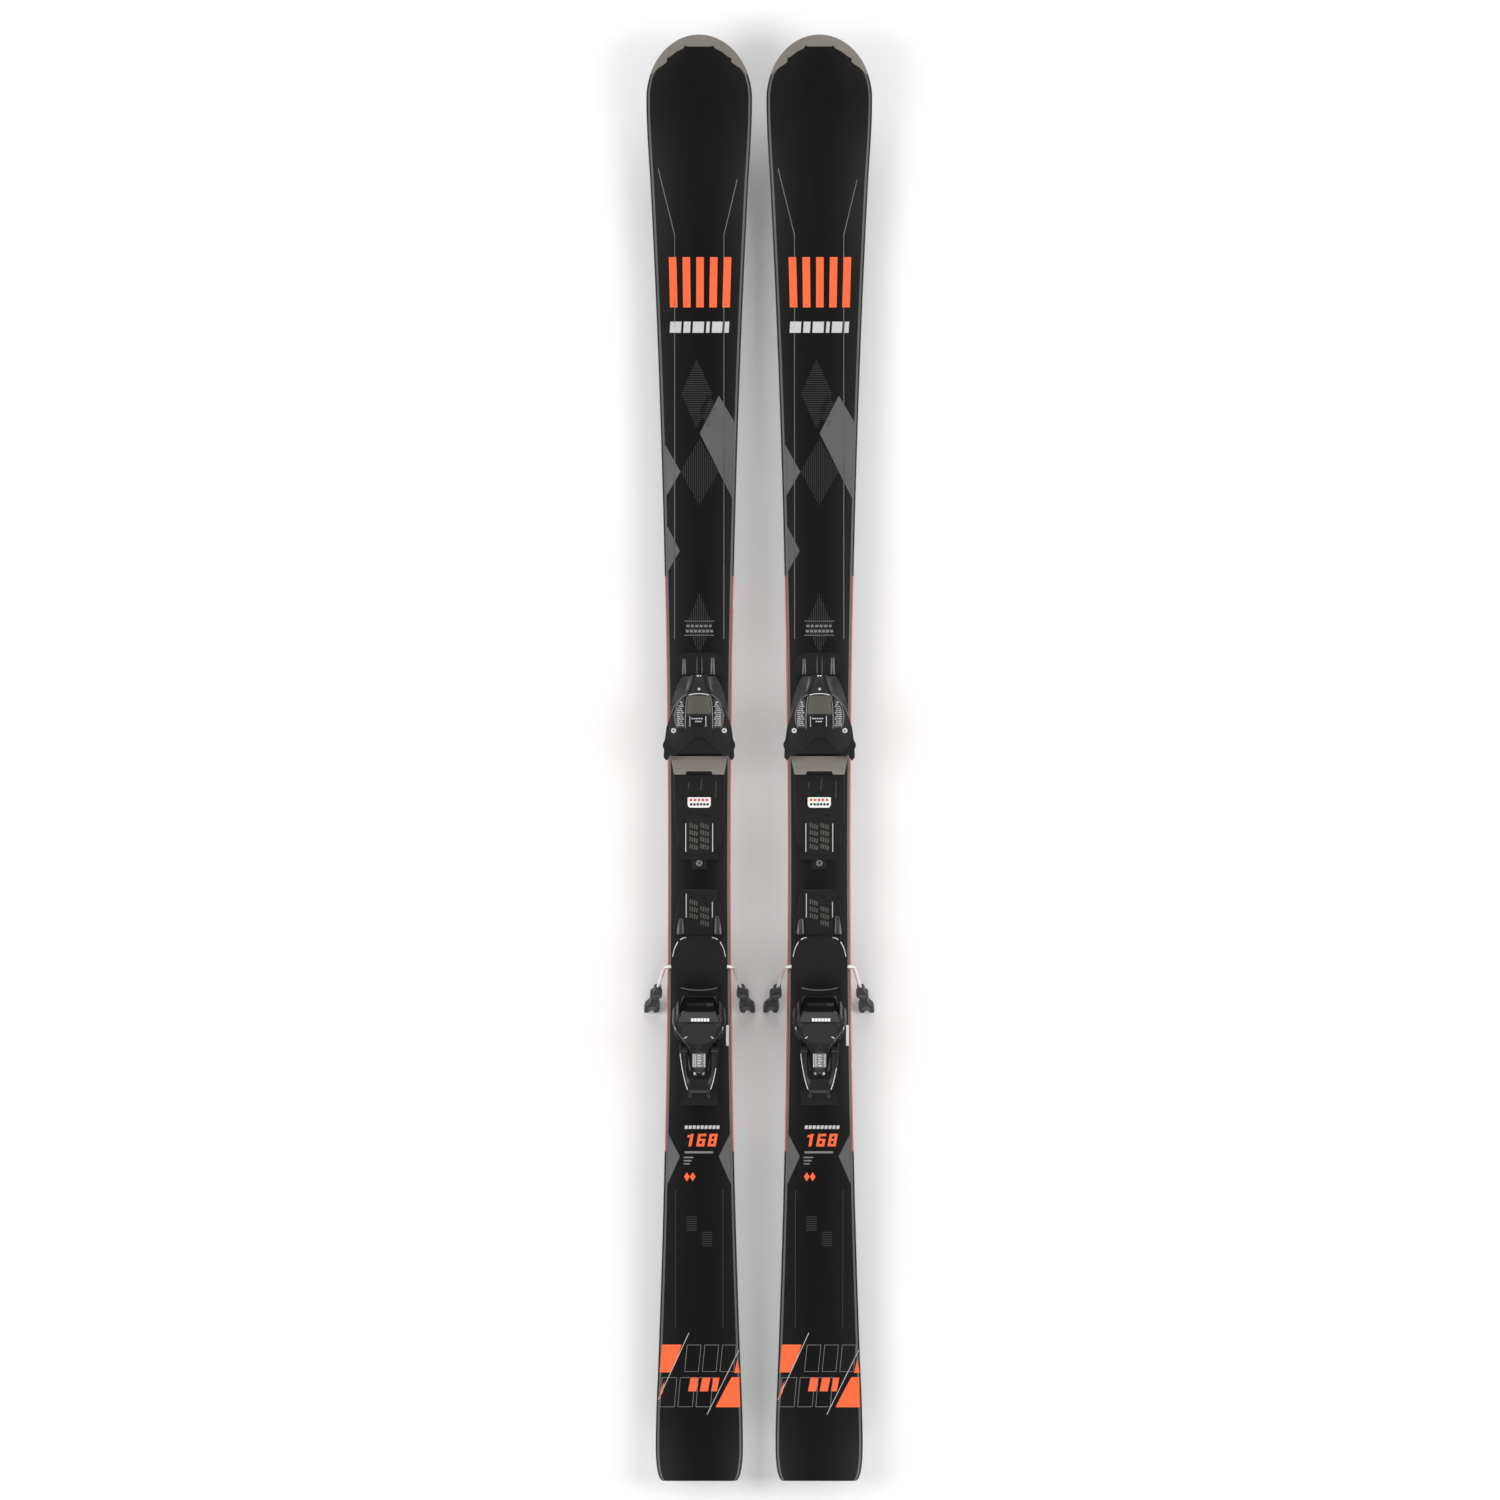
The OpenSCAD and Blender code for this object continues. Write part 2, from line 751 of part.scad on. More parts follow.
// Foot outline: distance along the arm and half width on each side of it
FOOT = [[47, 4], [58, 6.5], [63, 6.5], [69, 4.5], [78, 4.5], [90, 8.5], [100, 8.5]];

module brake_foot() {
    outer = [for (p = FOOT) [arm_x + splay * p[0] + p[1], -p[0]]];
    inner = [for (p = back(FOOT)) [arm_x + splay * p[0] - p[1], -p[0]]];
    notch_x = arm_x + splay * 100;
    difference() {
        translate([0, 0, -foot_t / 2])
            linear_extrude(foot_t)
                polygon(concat(outer, [[notch_x + 2.5, -100], [notch_x, -94],
                    [notch_x - 2.5, -100]], inner));
        translate([arm_x, 0, 0])
            rotate([90, 0, atan(splay)])
                cylinder(r = wire_d / 2 + run_gap, h = arm_l + 2.5);
    }
}

module brake_feet() {
    color([0.12, 0.12, 0.12])
        brake_pose() both_sides() brake_foot();
}

PAD = [[18, 32.5], [28, 20], [32.5, 0], [29, -18], [19, -33]];

module brake_pad() {
    bar_y = BRAKE_Y + BAR[0] * cos(brake_drop) - BAR[1] * sin(brake_drop);
    bar_z = brake_pivot_h + BAR[0] * sin(brake_drop) + BAR[1] * cos(brake_drop);
    color([0.1, 0.1, 0.1])
        translate([0, bar_y, deck + bar_z])
            rotate([pad_tilt, 0, 0])
                translate([0, 0, -deck])
                    difference() {
                        union() {
                            plate(back(PAD), 2.7, 5.2);
                            box(12, -5, 5, -4, 2.8);
                        }
                        rod_x(0, 0, wire_d / 2 + run_gap, -30, 30);
                    }
}

// ---- placing the pieces of each ski
module piece(name) {
    if (name == "base") base();
    if (name == "steel_edges") steel_edges();
    if (name == "core") core();
    if (name == "sidewalls") sidewalls();
    if (name == "topsheet") topsheet();
    if (name == "tip_protector") tip_protector();
    if (name == "rails") rails();
    if (name == "rail_screws") rail_screws();
    if (name == "toe_base") toe_base();
    if (name == "toe_housing") toe_housing();
    if (name == "toe_cover") toe_cover();
    if (name == "toe_windows") toe_windows();
    if (name == "toe_spring") toe_spring();
    if (name == "wing_left") wing_left();
    if (name == "wing_right") wing_right();
    if (name == "wing_screws") wing_screws();
    if (name == "afd_plate") afd_plate();
    if (name == "toe_screw") toe_screw();
    if (name == "toe_indicator") toe_indicator();
    if (name == "heel_tongue") heel_tongue();
    if (name == "heel_base") heel_base();
    if (name == "heel_axle") heel_axle();
    if (name == "heel_housing") heel_housing();
    if (name == "heel_lever") heel_lever();
    if (name == "heel_spring") heel_spring();
    if (name == "heel_screw") heel_screw();
    if (name == "heel_indicator") heel_indicator();
    if (name == "brake_arms") brake_arms();
    if (name == "brake_feet") brake_feet();
    if (name == "brake_pad") brake_pad();
}

module on_ski(side, name) {
    translate([(side == "left" ? -1 : 1) * pair_spacing / 2, 0, 0])
        piece(name);
}

for (side = SIDES, name = PIECES)
    on_ski(side, name);
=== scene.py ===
"""Looks for a pair of alpine skis with system bindings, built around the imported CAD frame.

Shapes are drawn in millimetres in the ski's own frame: x from the ski's centre
line, y along the ski with the tip at +y, and z above the mounting deck unless a
function says otherwise. put() turns them into metres in the CAD frame.
"""
import math

import bmesh
import bpy
from mathutils import Matrix, Vector
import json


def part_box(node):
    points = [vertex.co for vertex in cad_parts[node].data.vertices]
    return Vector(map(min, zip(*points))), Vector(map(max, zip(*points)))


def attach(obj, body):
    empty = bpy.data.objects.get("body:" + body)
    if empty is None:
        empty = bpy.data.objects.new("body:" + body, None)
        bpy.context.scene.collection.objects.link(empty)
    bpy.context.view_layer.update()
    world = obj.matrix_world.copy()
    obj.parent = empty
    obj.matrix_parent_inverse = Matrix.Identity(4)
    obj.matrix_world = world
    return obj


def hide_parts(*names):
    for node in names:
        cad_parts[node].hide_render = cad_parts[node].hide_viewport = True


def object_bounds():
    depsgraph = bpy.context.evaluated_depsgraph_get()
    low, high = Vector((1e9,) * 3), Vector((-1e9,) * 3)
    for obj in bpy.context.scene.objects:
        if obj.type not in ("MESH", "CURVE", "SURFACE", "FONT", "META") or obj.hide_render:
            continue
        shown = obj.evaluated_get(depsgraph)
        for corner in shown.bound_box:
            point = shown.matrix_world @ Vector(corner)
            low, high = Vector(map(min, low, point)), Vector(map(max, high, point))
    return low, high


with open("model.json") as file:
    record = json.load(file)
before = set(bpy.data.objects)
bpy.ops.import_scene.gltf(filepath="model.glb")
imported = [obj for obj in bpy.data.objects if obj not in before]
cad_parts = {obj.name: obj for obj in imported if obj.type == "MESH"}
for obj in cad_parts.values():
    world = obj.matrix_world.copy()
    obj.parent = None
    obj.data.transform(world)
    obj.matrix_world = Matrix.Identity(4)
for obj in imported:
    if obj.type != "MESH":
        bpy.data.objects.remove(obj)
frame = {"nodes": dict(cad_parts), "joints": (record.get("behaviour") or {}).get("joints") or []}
cad_lo, cad_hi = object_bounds()
MM = 0.001


# ---------------------------------------------------------------- materials
def shader(name, colour, rough, metallic=0.0, coat=0.0, grain=0.0, grain_size=900.0,
           vary=0.12, stretch=(1.0, 1.0, 1.0), transmission=0.0, specular=0.5):
    """A Principled material with a mottled colour, uneven gloss and a fine bump."""
    mat = bpy.data.materials.new(name)
    mat.use_nodes = True
    tree = mat.node_tree
    tree.nodes.clear()
    add = tree.nodes.new
    link = tree.links.new
    out = add("ShaderNodeOutputMaterial")
    bsdf = add("ShaderNodeBsdfPrincipled")
    link(bsdf.outputs["BSDF"], out.inputs["Surface"])
    bsdf.inputs["Metallic"].default_value = metallic
    bsdf.inputs["Coat Weight"].default_value = coat
    bsdf.inputs["Coat Roughness"].default_value = 0.12
    bsdf.inputs["Transmission Weight"].default_value = transmission
    bsdf.inputs["Specular IOR Level"].default_value = specular
    place = add("ShaderNodeTexCoord")
    scale = add("ShaderNodeMapping")
    scale.inputs["Scale"].default_value = stretch
    link(place.outputs["Object"], scale.inputs["Vector"])

    def noise(size, detail):
        n = add("ShaderNodeTexNoise")
        n.inputs["Scale"].default_value = size
        n.inputs["Detail"].default_value = detail
        link(scale.outputs["Vector"], n.inputs["Vector"])
        return n

    broad = noise(9.0, 3.0)
    ramp = add("ShaderNodeValToRGB")
    low = [c * (1 - vary) for c in colour]
    high = [min(1.0, c * (1 + vary)) for c in colour]
    ramp.color_ramp.elements[0].position = 0.3
    ramp.color_ramp.elements[1].position = 0.7
    ramp.color_ramp.elements[0].color = (*low, 1)
    ramp.color_ramp.elements[1].color = (*high, 1)
    link(broad.outputs["Fac"], ramp.inputs["Fac"])
    link(ramp.outputs["Color"], bsdf.inputs["Base Color"])
    medium = noise(70.0, 4.0)
    gloss = add("ShaderNodeMapRange")
    gloss.inputs["To Min"].default_value = max(0.02, rough - 0.06)
    gloss.inputs["To Max"].default_value = min(1.0, rough + 0.06)
    link(medium.outputs["Fac"], gloss.inputs["Value"])
    link(gloss.outputs["Result"], bsdf.inputs["Roughness"])
    if grain:
        fine = noise(grain_size, 2.0)
        bump = add("ShaderNodeBump")
        bump.inputs["Strength"].default_value = grain
        bump.inputs["Distance"].default_value = 0.0002
        link(fine.outputs["Fac"], bump.inputs["Height"])
        link(bump.outputs["Normal"], bsdf.inputs["Normal"])
    return mat


ALONG = (1.0, 0.06, 1.0)            # stretches a texture along the ski
MAT = {
    "top": shader("topsheet_black", (0.0042, 0.0037, 0.0037), 0.34, grain=0.06,
                  grain_size=700, vary=0.25, stretch=ALONG, specular=0.16),
    # lighter grey on the topsheet's bevel strip: a painted highlight along the ski's border
    "bevel": shader("topsheet_bevel_painted_highlight", (0.075, 0.075, 0.07), 0.38, grain=0.1, stretch=ALONG),
    "cap": shader("cap_side", (0.005, 0.0047, 0.0047), 0.4, grain=0.1, stretch=ALONG,
                  specular=0.25),
    "base": shader("sintered_base", (0.02, 0.02, 0.021), 0.42, grain=0.5, grain_size=2500,
                   stretch=ALONG),
    "edge": shader("edge_steel", (0.56, 0.56, 0.57), 0.28, metallic=1.0, grain=0.3,
                   grain_size=1800, stretch=(6.0, 0.3, 6.0)),
    "wall": shader("sidewall_orange", (0.72, 0.06, 0.022), 0.42, grain=0.15, stretch=ALONG),
    "protector": shader("protector_grey", (0.23, 0.21, 0.185), 0.33, metallic=0.3,
                        grain=0.2, grain_size=1500),
    "orange": shader("print_orange", (0.82, 0.12, 0.032), 0.4, vary=0.04),
    "white": shader("print_white", (0.50, 0.50, 0.50), 0.4, vary=0.05),
    # grey lines: print, and the painted ridge highlights along the forebody
    "line": shader("print_and_ridge_highlight_line", (0.17, 0.17, 0.165), 0.4, vary=0.2),
    "faint": shader("print_faint", (0.022, 0.022, 0.024), 0.42, vary=0.3),
    "grey": shader("print_grey", (0.085, 0.085, 0.088), 0.42, vary=0.22),
    "plastic": shader("binding_black", (0.0062, 0.0062, 0.0066), 0.34, grain=0.2,
                      grain_size=1600, vary=0.2, specular=0.35),
    "slider": shader("slider_black", (0.0068, 0.007, 0.0064), 0.42, grain=0.22,
                     grain_size=1300, vary=0.2, specular=0.22),
    "pad": shader("pad_black", (0.0055, 0.0055, 0.0055), 0.5, grain=0.3, grain_size=1100,
                  vary=0.2, specular=0.2),
    "cover": shader("cover_graphite", (0.105, 0.102, 0.086), 0.3, metallic=0.3, coat=0.4,
                    grain=0.2, grain_size=1500),
    "glass": shader("window_clear", (0.95, 0.96, 0.96), 0.06, transmission=1.0, vary=0.01),
    # dark glossy material: the windows' own dark, and painted shade in screw slots
    "dark": shader("dark_window_and_slot_shade", (0.006, 0.006, 0.008), 0.12, coat=0.6),
    "afd": shader("afd_grey", (0.21, 0.19, 0.17), 0.4, grain=0.4, grain_size=1400),
    "chrome": shader("wire_chrome", (0.80, 0.80, 0.79), 0.3, metallic=0.75, grain=0.1,
                     grain_size=1200),
    "screw": shader("screw_zinc", (0.70, 0.70, 0.69), 0.25, metallic=1.0, grain=0.2),
    "spring": shader("spring_steel", (0.40, 0.40, 0.42), 0.3, metallic=1.0, grain=0.2),
    "red": shader("indicator_red", (0.62, 0.03, 0.015), 0.35),
    "wood": shader("core_wood", (0.55, 0.36, 0.19), 0.6, grain=0.5, grain_size=500,
                   vary=0.3, stretch=(9.0, 0.5, 9.0)),
    "foot": shader("foot_black", (0.015, 0.015, 0.015), 0.42, grain=0.5, grain_size=1300),
    "rib": shader("rib_grey", (0.11, 0.11, 0.105), 0.3, coat=0.4),
    # bright material: the wing pivot screws' own steel, and elsewhere painted highlight lines on
    # rims and ridges
    "shine": shader("painted_highlight_and_bright_steel", (0.62, 0.62, 0.60), 0.35, metallic=0.35, coat=0.3),
    # lighter plastic that paints a sheen on slopes, humps and ribs
    "sheen": shader("plastic_sheen_painted", (0.034, 0.034, 0.033), 0.3, coat=0.3, vary=0.2),
    "scale": shader("scale_grey", (0.075, 0.072, 0.066), 0.38, grain=0.3, vary=0.2),
    "mark": shader("mark_white", (0.80, 0.80, 0.79), 0.45, vary=0.05),
}


# ---------------------------------------------------------------- places from the frame
def size_of(node):
    lo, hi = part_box(node)
    return lo / MM, hi / MM


SKI_LO, SKI_HI = size_of("left_base")
HALF_L = (SKI_HI.y - SKI_LO.y) / 2
TIP_HALF = (SKI_HI.x - SKI_LO.x) / 2
CONTACT_Z = SKI_LO.z                        # plane of the contact points
DECK_Z = size_of("left_rails")[0].z         # flat mounting deck
CENTRE = {s: sum(size_of(f"{s}_base"), Vector()).x / 2 for s in ("left", "right")}


def joint(name):
    return next(j for j in frame["joints"] if j["name"] == name)


def pivot(name):
    """A hinge's place in the ski's own frame: y, z above the deck."""
    p = joint(name)["pos_m"]
    return p[1] / MM, p[2] / MM - DECK_Z


# ---------------------------------------------------------------- the ski's shape
WAIST_HALF, WAIST_Y, SIDECUT = 36.6, -117.0, 3.28e-5
SHOULDER_Y = HALF_L - 72.5
HEEL_Y = -HALF_L + 41.5
TAIL_HALF, TAIL_END_HALF = 50.8, 42.0
FRONT_JOIN, REAR_JOIN = SHOULDER_Y - 105, HEEL_Y + 96
WALL_FRONT, WALL_REAR = 213.0, -455.0
FRONT_CONTACT, REAR_CONTACT = HALF_L - 277.5, -HALF_L + 77.5
DECK_FRONT, DECK_REAR = 125.0, -405.0
CAMBER, TIP_RISE, TAIL_RISE, END_T = 4.0, 55.0, 8.0, 7.0
SOLE_T, EDGE_W, WALL_W, LEDGE = 1.8, 2.2, 5.0, 1.6
PROTECTOR_Y = SHOULDER_Y + 28


def ease(t, a, b, slope, length):
    """Blends from a, where it leaves at the slope, to b, where it arrives level."""
    return (a * (2 * t**3 - 3 * t**2 + 1) + b * (3 * t**2 - 2 * t**3)
            + slope * length * (t**3 - 2 * t**2 + t))


def half_w(y):
    """Half width of the ski at y."""
    def curve(v):
        return WAIST_HALF + SIDECUT * (v - WAIST_Y) ** 2

    def slope(v):
        return 2 * SIDECUT * (v - WAIST_Y)

    if y >= SHOULDER_Y:
        s = min(1.0, (y - SHOULDER_Y) / (HALF_L - SHOULDER_Y))
        return TIP_HALF * math.sqrt(max(0.0, 1 - s * s))
    if y > FRONT_JOIN:
        length = SHOULDER_Y - FRONT_JOIN
        return ease((y - FRONT_JOIN) / length, curve(FRONT_JOIN), TIP_HALF,
                    slope(FRONT_JOIN), length)
    if y < HEEL_Y:
        s = min(1.0, (HEEL_Y - y) / (HEEL_Y + HALF_L))
        return TAIL_END_HALF + (TAIL_HALF - TAIL_END_HALF) * (1 - s**2.3) ** (1 / 2.3)
    if y < REAR_JOIN:
        length = REAR_JOIN - HEEL_Y
        return ease((REAR_JOIN - y) / length, curve(REAR_JOIN), TAIL_HALF,
                    -slope(REAR_JOIN), length)
    return curve(y)


def base_z(y):
    """Height of the running base at y, above the CAD frame's floor."""
    mid = (FRONT_CONTACT + REAR_CONTACT) / 2
    half = (FRONT_CONTACT - REAR_CONTACT) / 2
    if y > FRONT_CONTACT:
        return CONTACT_Z + TIP_RISE * ((y - FRONT_CONTACT) / (HALF_L - FRONT_CONTACT)) ** 2.2
    if y < REAR_CONTACT:
        return CONTACT_Z + TAIL_RISE * ((REAR_CONTACT - y) / (REAR_CONTACT + HALF_L)) ** 2
    return CONTACT_Z + CAMBER * (1 - ((y - mid) / half) ** 2) ** 2


def top_z(y):
    """Height of the topsheet at y, above the CAD frame's floor."""
    def taper(y0, y1):
        full = DECK_Z - base_z(y0) - END_T
        return END_T + full * (1 - (y - y0) / (y1 - y0)) ** 1.5

    if y > DECK_FRONT:
        return base_z(y) + taper(DECK_FRONT, HALF_L)
    if y < DECK_REAR:
        return base_z(y) + taper(DECK_REAR, -HALF_L)
    return DECK_Z


def spread(a, b, n):
    return [a + (b - a) * i / n for i in range(n + 1)]


NOSE_STEPS = [SHOULDER_Y + (HALF_L - SHOULDER_Y) * math.sin(math.radians(a))
              for a in range(3, 90, 3)]
TAIL_STEPS = [HEEL_Y - (HEEL_Y + HALF_L) * math.sin(math.radians(a))
              for a in range(9, 90, 9)]
STATIONS = sorted(set(
    [-HALF_L] + TAIL_STEPS + spread(HEEL_Y, WALL_REAR, 24) + spread(WALL_REAR, DECK_REAR, 3)
    + spread(DECK_REAR, DECK_FRONT, 26) + spread(DECK_FRONT, WALL_FRONT, 5)
    + spread(WALL_FRONT, SHOULDER_Y, 40) + NOSE_STEPS + [HALF_L - 0.02]))


# ---------------------------------------------------------------- mesh helpers
def put(name, bm, side, materials, body, replaces=(), slot=None, smooth=35.0,
        deck=True, bevel=0.0, segments=3):
    """Turns millimetres in the ski's frame into a piece that rides on a body."""
    bmesh.ops.remove_doubles(bm, verts=bm.verts, dist=0.002)
    bmesh.ops.recalc_face_normals(bm, faces=bm.faces)
    shift = Vector((CENTRE[side], 0, DECK_Z if deck else 0))
    for v in bm.verts:
        v.co = (v.co + shift) * MM
    limit = math.radians(smooth)
    for f in bm.faces:
        f.smooth = True
    for e in bm.edges:
        sharp = len(e.link_faces) != 2 or e.calc_face_angle(0.0) > limit
        e.smooth = not sharp
    name = f"{side}_{name}"
    mesh = bpy.data.meshes.new(name)
    bm.to_mesh(mesh)
    bm.free()
    for key in ([materials] if isinstance(materials, str) else materials):
        mesh.materials.append(MAT[key])
    obj = bpy.data.objects.new(name, mesh)
    bpy.context.scene.collection.objects.link(obj)
    if bevel:
        soften(obj, bevel, segments)
    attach(obj, f"{side}_{body}")
    if replaces:
        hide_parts(*[f"{side}_{n}" for n in replaces])
    return obj


def soften(obj, width, segments=3):
    mod = obj.modifiers.new("round_edges", "BEVEL")
    mod.width = width * MM
    mod.segments = segments
    mod.limit_method = "ANGLE"
    mod.angle_limit = math.radians(32)
    mod.harden_normals = True
    mod.use_clamp_overlap = True


def ring_tube(bm, rings, caps=True, material=0, strips=None):
    """Skins closed rings of equal length into a tube; strips gives each side its material."""
    rows = [[bm.verts.new(p) for p in ring] for ring in rings]
    n = len(rings[0])
    for a, b in zip(rows, rows[1:]):
        for i in range(n):
            f = bm.faces.new((a[i], a[(i + 1) % n], b[(i + 1) % n], b[i]))
            f.material_index = strips[i] if strips else material
    if caps:
        for row in (rows[0], rows[-1]):
            bm.faces.new(row).material_index = material
    return rows


def prism(bm, outline, z0, z1, material=0):
    """An upright prism; z0 and z1 are heights or functions of (x, y)."""
    def height(z, p):
        return z(*p) if callable(z) else z

    low = [(p[0], p[1], height(z0, p)) for p in outline]
    high = [(p[0], p[1], height(z1, p)) for p in outline]
    ring_tube(bm, [low, high], material=material)


def domed(bm, outline, z0, top):
    """An upright prism whose roof follows the height function top(x, y)."""
    cx = sum(p[0] for p in outline) / len(outline)
    cy = sum(p[1] for p in outline) / len(outline)
    rings = [[(x, y, z0) for x, y in outline]]
    for k in (1.0, 0.75, 0.5, 0.25):
        ring = [(cx + (x - cx) * k, cy + (y - cy) * k) for x, y in outline]
        rings.append([(x, y, top(x, y)) for x, y in ring])
    rows = ring_tube(bm, rings, caps=False)
    bm.faces.new(rows[0])
    peak = bm.verts.new((cx, cy, top(cx, cy)))
    last = rows[-1]
    for i, v in enumerate(last):
        bm.faces.new((v, last[(i + 1) % len(last)], peak))


def mirrored(points):
    return list(points) + [(-x, y) for x, y in reversed(points)]


def rounded(points, radius, steps=4):
    """A closed outline with its corners filleted."""
    out = []
    n = len(points)
    for i in range(n):
        p, a, b = (Vector(points[i]), Vector(points[i - 1]), Vector(points[(i + 1) % n]))
        u, v = a - p, b - p
        r = radius[i] if isinstance(radius, (list, tuple)) else radius
        cut = min(r, u.length * 0.45, v.length * 0.45)
        start, end = p + u.normalized() * cut, p + v.normalized() * cut
        for k in range(steps + 1):
            t = k / steps
            out.append(tuple(start.lerp(p, t).lerp(p.lerp(end, t), t)))
    return out


def block(bm, x0, x1, y0, y1, z0, z1, material=0):
    prism(bm, [(x0, y0), (x1, y0), (x1, y1), (x0, y1)], z0, z1, material)


def disc(bm, centre, axis, radius, length, sides=32, edge=0.0):
    """A round boss along an axis, with a chamfered far end."""
    z = Vector(axis).normalized()
    x = z.orthogonal().normalized()
    y = z.cross(x)
    c = Vector(centre)

    def ring(r, d):
        return [c + z * d + (x * math.cos(2 * math.pi * i / sides)
                + y * math.sin(2 * math.pi * i / sides)) * r for i in range(sides)]

    rings = [ring(radius, 0)]
    if edge:
        rings += [ring(radius, length - edge), ring(radius - edge, length)]
    else:
        rings.append(ring(radius, length))
    ring_tube(bm, rings)


def fillet_path(points, radius, steps=8):
    """An open path with its corners replaced by arcs of about that radius."""
    pts = [Vector(p) for p in points]
    out = [pts[0]]
    for a, p, b in zip(pts, pts[1:], pts[2:]):
        u, v = (a - p).normalized(), (b - p).normalized()
        half = u.angle(v) / 2
        cut = min(radius / math.tan(half), (a - p).length * 0.45, (b - p).length * 0.45)
        for k in range(steps + 1):
            t = k / steps
            q = p + u * cut
            r = p + v * cut
            out.append(q.lerp(p, t).lerp(p.lerp(r, t), t))
    out.append(pts[-1])
    return out


def curve(points, steps=6):
    """A smooth line through the points."""
    pts = [Vector(p) for p in points]
    pts = [2 * pts[0] - pts[1]] + pts + [2 * pts[-1] - pts[-2]]
    out = []
    for a, b, c, d in zip(pts, pts[1:], pts[2:], pts[3:]):
        for k in range(steps):
            t = k / steps
            out.append(0.5 * (2 * b + (c - a) * t + (2 * a - 5 * b + 4 * c - d) * t * t
                              + (3 * b - a - 3 * c + d) * t ** 3))
    out.append(pts[-2])
    return out


def sweep(bm, path, radius, sides=14):
    """A round bar along a path, carried without twist."""
    path = [Vector(p) for p in path]
    tangents = []
    for i in range(len(path)):
        a, b = path[max(0, i - 1)], path[min(len(path) - 1, i + 1)]
        tangents.append((b - a).normalized())
    normal = tangents[0].orthogonal().normalized()
    rings = []
    for p, t in zip(path, tangents):
        normal = (normal - t * normal.dot(t)).normalized()
        other = t.cross(normal)
        rings.append([p + (normal * math.cos(2 * math.pi * k / sides)
                     + other * math.sin(2 * math.pi * k / sides)) * radius
                     for k in range(sides)])
    ring_tube(bm, rings)


def rotate_x(bm, y, z, degrees):
    """Turns the whole mesh about an X axis through y, z."""
    m = (Matrix.Translation((0, y, z)) @ Matrix.Rotation(math.radians(degrees), 4, "X")
         @ Matrix.Translation((0, -y, -z)))
    bmesh.ops.transform(bm, matrix=m, verts=bm.verts)


# ---------------------------------------------------------------- the laminated ski
def fine(y0, y1):
    """The stations between two places, with both ends."""
    return [y0] + [y for y in STATIONS if y0 + 0.3 < y < y1 - 0.3] + [y1]


def ski_base(side):
    def ring(y, half):
        b = base_z(y)
        return [(-half, y, b), (half, y, b), (half, y, b + SOLE_T), (-half, y, b + SOLE_T)]

    rings = [ring(y, half_w(y)) for y in fine(-HALF_L, HEEL_Y)]
    rings += [ring(y + 0.01, half_w(y) - EDGE_W) for y in fine(HEEL_Y, SHOULDER_Y)]
    rings += [ring(y + 0.02, half_w(y)) for y in fine(SHOULDER_Y, HALF_L - 0.02)]
    bm = bmesh.new()
    ring_tube(bm, rings)
    put("running_base", bm, side, "base", "ski", ["base"], "running_base", deck=False)


def ski_edges(side):
    bm = bmesh.new()
    for s in (-1, 1):
        rings = []
        for y in fine(HEEL_Y, SHOULDER_Y):
            w, b = half_w(y), base_z(y)
            rings.append([(s * (w - EDGE_W), y, b), (s * (w - 0.15), y, b), (s * w, y, b + 0.15),
                          (s * w, y, b + SOLE_T), (s * (w - EDGE_W), y, b + SOLE_T)])
        ring_tube(bm, rings)
    put("edges", bm, side, "edge", "ski", ["steel_edges"], "edge_steel", deck=False)


def ski_walls(side):
    bm = bmesh.new()
    for s in (-1, 1):
        rings = []
        for y in fine(WALL_REAR, WALL_FRONT):
            w, b, t = half_w(y), base_z(y), top_z(y)
            rings.append([(s * (w - WALL_W), y, b + SOLE_T), (s * w, y, b + SOLE_T),
                          (s * (w - 0.05), y, b + SOLE_T + 1.2), (s * (w - LEDGE), y, t - 1),
                          (s * (w - WALL_W), y, t - 1)])
        ring_tube(bm, rings)
    put("side_walls", bm, side, "wall", "ski", ["sidewalls"], "sidewall", deck=False)


BEVEL_OUT, BEVEL_IN = 2.0, 4.2      # the bevel's two borders from the outline; the strip between them is painted lighter grey as a painted highlight


